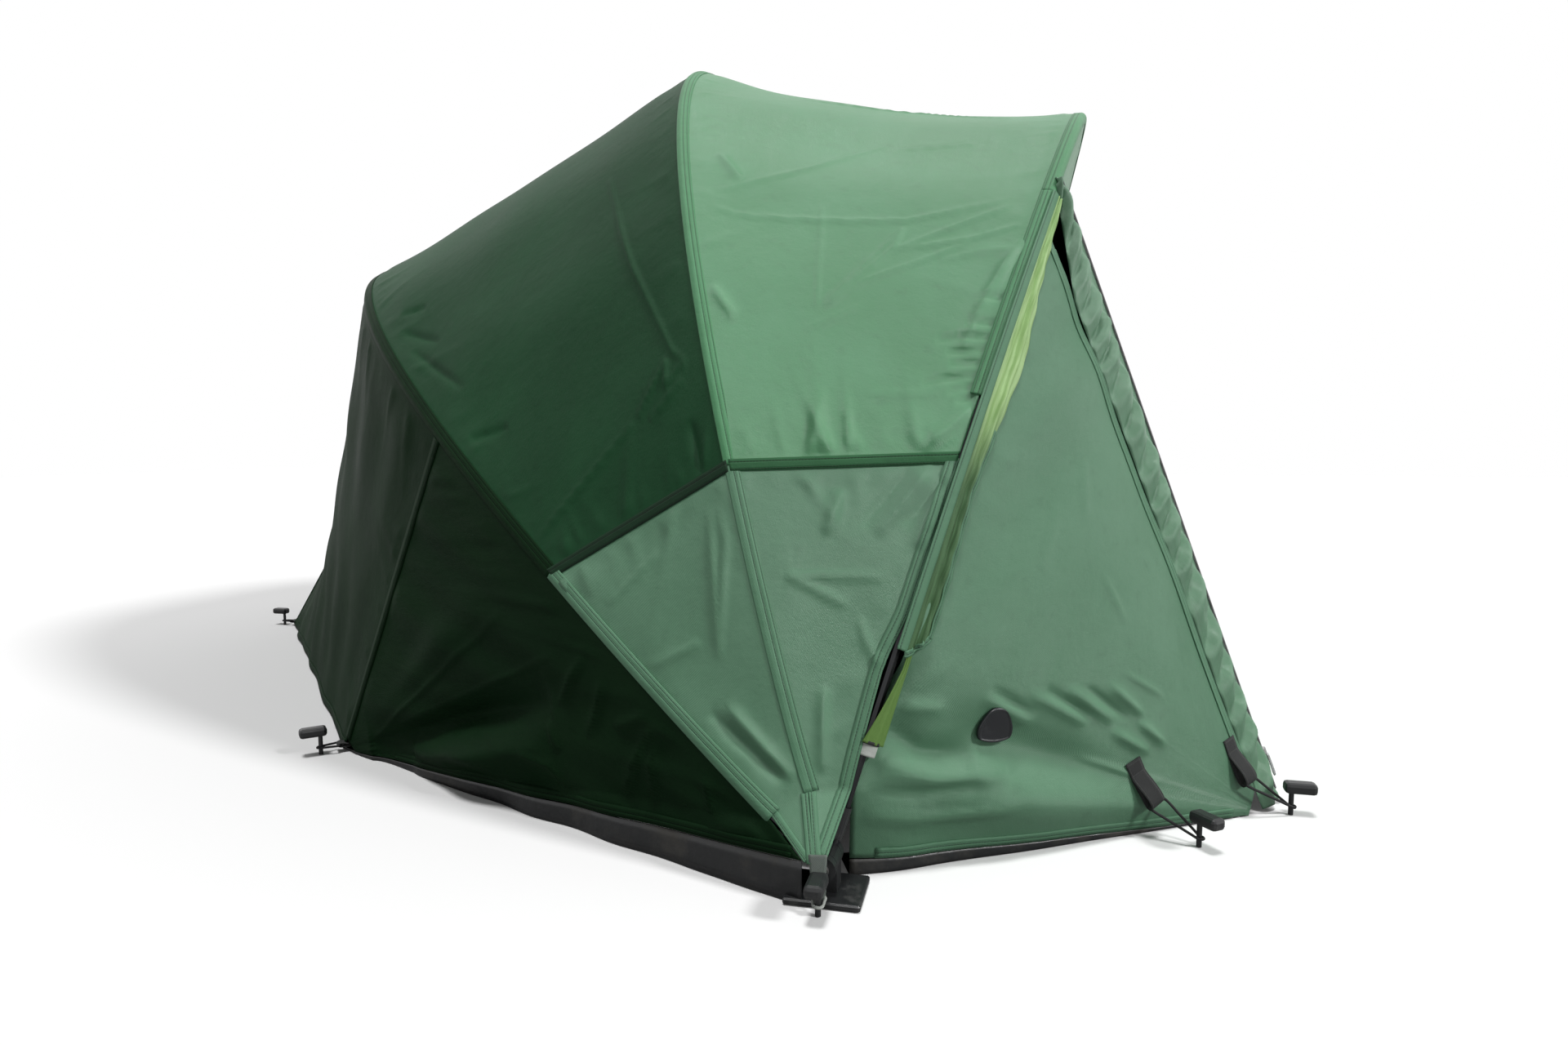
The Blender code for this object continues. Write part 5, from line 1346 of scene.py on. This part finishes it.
def on_wing(label, up_share, over_share):
    """A place on a wing's cloth, at shares up from its hem and over from the pole to its peg."""
    grid = grids[f"front_wing_{label}_cloth"]
    station = up_share * (WING_TOP + 1) - 1
    hem = wing_hem_rows[label]
    row = hem + station / WING_TOP * (len(grid) - 1 - hem) if station > 0 else hem * (1 + station)
    return sampled(grid, np.array(row / (len(grid) - 1)), np.array(over_share))


def laid_on(cloth, places, lift, near=LAID_WIDTH):
    """Places moved onto a cloth's face and lifted off it, and the cloth's way out there."""
    spots, outs = grids[cloth].reshape(-1, 3), outward(grids[cloth]).reshape(-1, 3)
    flat = places.reshape(-1, 3)
    weights = np.exp(-(np.linalg.norm(flat[:, None] - spots[None], axis=-1) / near) ** 2) + 1e-12
    weights /= weights.sum(axis=1, keepdims=True)
    out = unit(weights @ outs)
    above = (flat * out).sum(axis=-1) - (weights @ spots * out).sum(axis=-1)
    return (flat + out * (lift - above)[:, None]).reshape(places.shape), unit(out.mean(axis=0))


def smooth_line(points, count):
    """Places along a smooth line through points."""
    points = np.array(points, float)
    ends = np.concatenate([[2 * points[0] - points[1]], points, [2 * points[-1] - points[-2]]])
    spot = np.linspace(0, len(points) - 1, count)
    low = np.minimum(spot.astype(int), len(points) - 2)
    part = (spot - low)[:, None]
    a, b, c, d = (ends[low + number] for number in range(4))
    return b + part / 2 * (c - a + part * (2 * a - 5 * b + 4 * c - d + part * (3 * (b - c) + d - a)))


def cord_piece(name, path, radius, skin):
    """A round cord along a path."""
    along = unit(np.gradient(path, axis=0))
    up = np.array((0.05, 0.05, 1.0))
    first = unit(up - (along @ up)[:, None] * along)
    second = np.cross(along, first)
    angles = np.linspace(0, 2 * math.pi, 11)
    ring = first[:, None] * np.cos(angles)[:, None] + second[:, None] * np.sin(angles)[:, None]
    mesh = grid_mesh(name, path[:, None] + ring * radius, turn=False)
    mesh.materials.append(skin)
    piece = link_piece(name, mesh)
    return piece


def webbing_tie(node, shape, origin, ways, halves, body, kind, cloth=None):
    """A webbing tab in place of its solid, and the elastic from its fold round its peg."""
    (profile, nose), (webbing, elastic, slot_name) = shape, kind
    down, out, over = ways
    line = smooth_line(profile, 44)
    half = np.interp(line[:, 0], (0, line[:, 0].max()), halves)
    tab_grid = (origin + down * line[:, :1] + out * (0 if cloth else line[:, 1:]))[:, None] + (
        over * half[:, None, None] * np.linspace(-1, 1, 7)[None, :, None])
    middle = origin + down * nose[0] + out * nose[1]
    if cloth:
        tab_grid, out = laid_on(cloth, tab_grid, CLOTH / 2 + WEBBING)
        tab_grid = tab_grid + out * line[:, None, 1:]
        middle = laid_on(cloth, (origin + down * nose[0])[None], CLOTH / 2 + WEBBING)[0][0] + out * nose[1]
    peg = node.replace("corner_tie", "wing_tie").replace("tie", "peg")
    cloth_piece(f"{node}_tab", tab_grid, (webbing, slot_name), body, [cloth or peg], WEBBING)

    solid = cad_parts[peg]
    places = np.array([solid.matrix_world @ corner.co for corner in solid.data.vertices])
    post = places[places[:, 2] < places[:, 2].min() + 1e-4].mean(axis=0)
    away = unit((post - middle) * (1, 1, 0))
    beside = np.array((-away[1], away[0], 0.0))
    beside *= 1 if beside @ over > 0 else -1
    centre = np.array((post[0], post[1], LOOP_HEIGHT))
    ring = PEG_RADIUS + ELASTIC_RADIUS
    bend = [centre + beside * ring * math.cos(angle) + away * ring * math.sin(angle)
            for angle in np.linspace(0, math.pi, 7)]
    reach = halves[1] + ELASTIC_RADIUS * 0.6
    sides = []
    for way, end in ((1, bend[0]), (-1, bend[-1])):
        corner = middle + over * way * reach
        sides.append([middle + over * way * reach * 0.7, corner + (end - corner) * 0.10,
                      corner + (end - corner) * 0.45, corner + (end - corner) * 0.85])
    path = smooth_line([middle] + sides[0] + bend + sides[1][::-1] + [middle], 150)
    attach(cord_piece(f"{node}_elastic", path, ELASTIC_RADIUS, elastic), body)


def frame_ways(down, out):
    """Three square ways from the way that a tab runs and, about, the way that it faces."""
    down = unit(np.array(down, float))
    out = unit(np.array(out, float) - down * (down @ np.array(out, float)))
    return down, out, np.cross(down, out)


black_tie = woven("black_webbing", WEBBING_BLACK, 0.70, 3.0, webbing_rows, THREAD_BLACK,
                  bars=webbing_bars), elastic_skin, "black_webbing"
grey_tie = woven("grey_webbing", WEBBING_GREY, 0.65, 3.0), *cuff_cloth
for label, side in SIDES.items():
    wing = f"front_wing_{label}_cloth"
    for node, (high, low) in (("tab_tie", HEM_TAB_SHARES), ("corner_tie", CORNER_TAB_SHARES)):
        origin, end = on_wing(label, *high), on_wing(label, *low)
        ways = frame_ways(end - origin, laid_on(wing, origin[None], 0)[1])
        webbing_tie(f"{node}_{label}", TAB, origin, ways, (WEBBING_HALF_WIDTH, WEBBING_HALF_WIDTH),
                    "front_rib", black_tie, wing)
    webbing_tie(f"side_tie_{label}", SHORT_TAB, ground(side, SIDE_PEG, LOOP_HEIGHT),
                frame_ways((side * SIDE_PEG[0], SIDE_PEG[1], 0), (0, 0, 1)), SHORT_HALF_WIDTHS, "rear_rib",
                black_tie)
    webbing_tie(f"hub_tie_{label}", HUB_TAB, ground(side, HUB_TAB_TOP, HUB_TAB_HEIGHT),
                frame_ways(np.array(HUB_TAB_WAY) * (side, 1, 1), (side, 0, 0)), HUB_TAB_HALF_WIDTHS, "frame",
                grey_tie)
webbing_tie("tail_tie", SHORT_TAB, ground(0, TAIL_PEG, LOOP_HEIGHT), frame_ways((0, 1, 0), (0, 0, 1)),
            SHORT_HALF_WIDTHS, "rear_rib", black_tie)

wing = "front_wing_left_cloth"
badge_middle = on_wing("left", *BADGE_SHARES)
badge_over, badge_out, badge_up = frame_ways(on_wing("left", 0.0, 0.9) - on_wing("left", 0.0, 0.1),
                                             laid_on(wing, badge_middle[None], 0)[1])
badge_up *= np.sign(badge_up[2])
v, u = np.meshgrid(np.linspace(-1, 1, 49), np.linspace(-1, 1, 49), indexing="ij")
half = BADGE_HALF_WIDTH * (1 - BADGE_TAPER * v) * np.sqrt(1 - BADGE_ROUND * v * v)
rise = BADGE_HALF_HEIGHT * v * np.sqrt(1 - BADGE_ROUND * u * u)
badge_flat = badge_middle + badge_over * (half * u)[..., None] + badge_up * rise[..., None]
from_rim = 1 - np.maximum(np.abs(u), np.abs(v))
high = BADGE_THICKNESS * edge_fade(from_rim, 0.0, 0.05) + 0.0006 * (1 - u * u) * (1 - v * v)
high += BADGE_RIM * (edge_fade(from_rim, 0.02, 0.07) - edge_fade(from_rim, 0.13, 0.20))
badge_grid, badge_out = laid_on(wing, badge_flat, BADGE_LIFT, BADGE_SPREAD)
badge_rubber = marked("badge_rubber", RUBBER_BLACK, RUBBER_WORN, NYLON_MARKS), "badge_rubber"
cloth_piece("badge_patch", badge_grid + badge_out * high[..., None], badge_rubber, "front_rib")
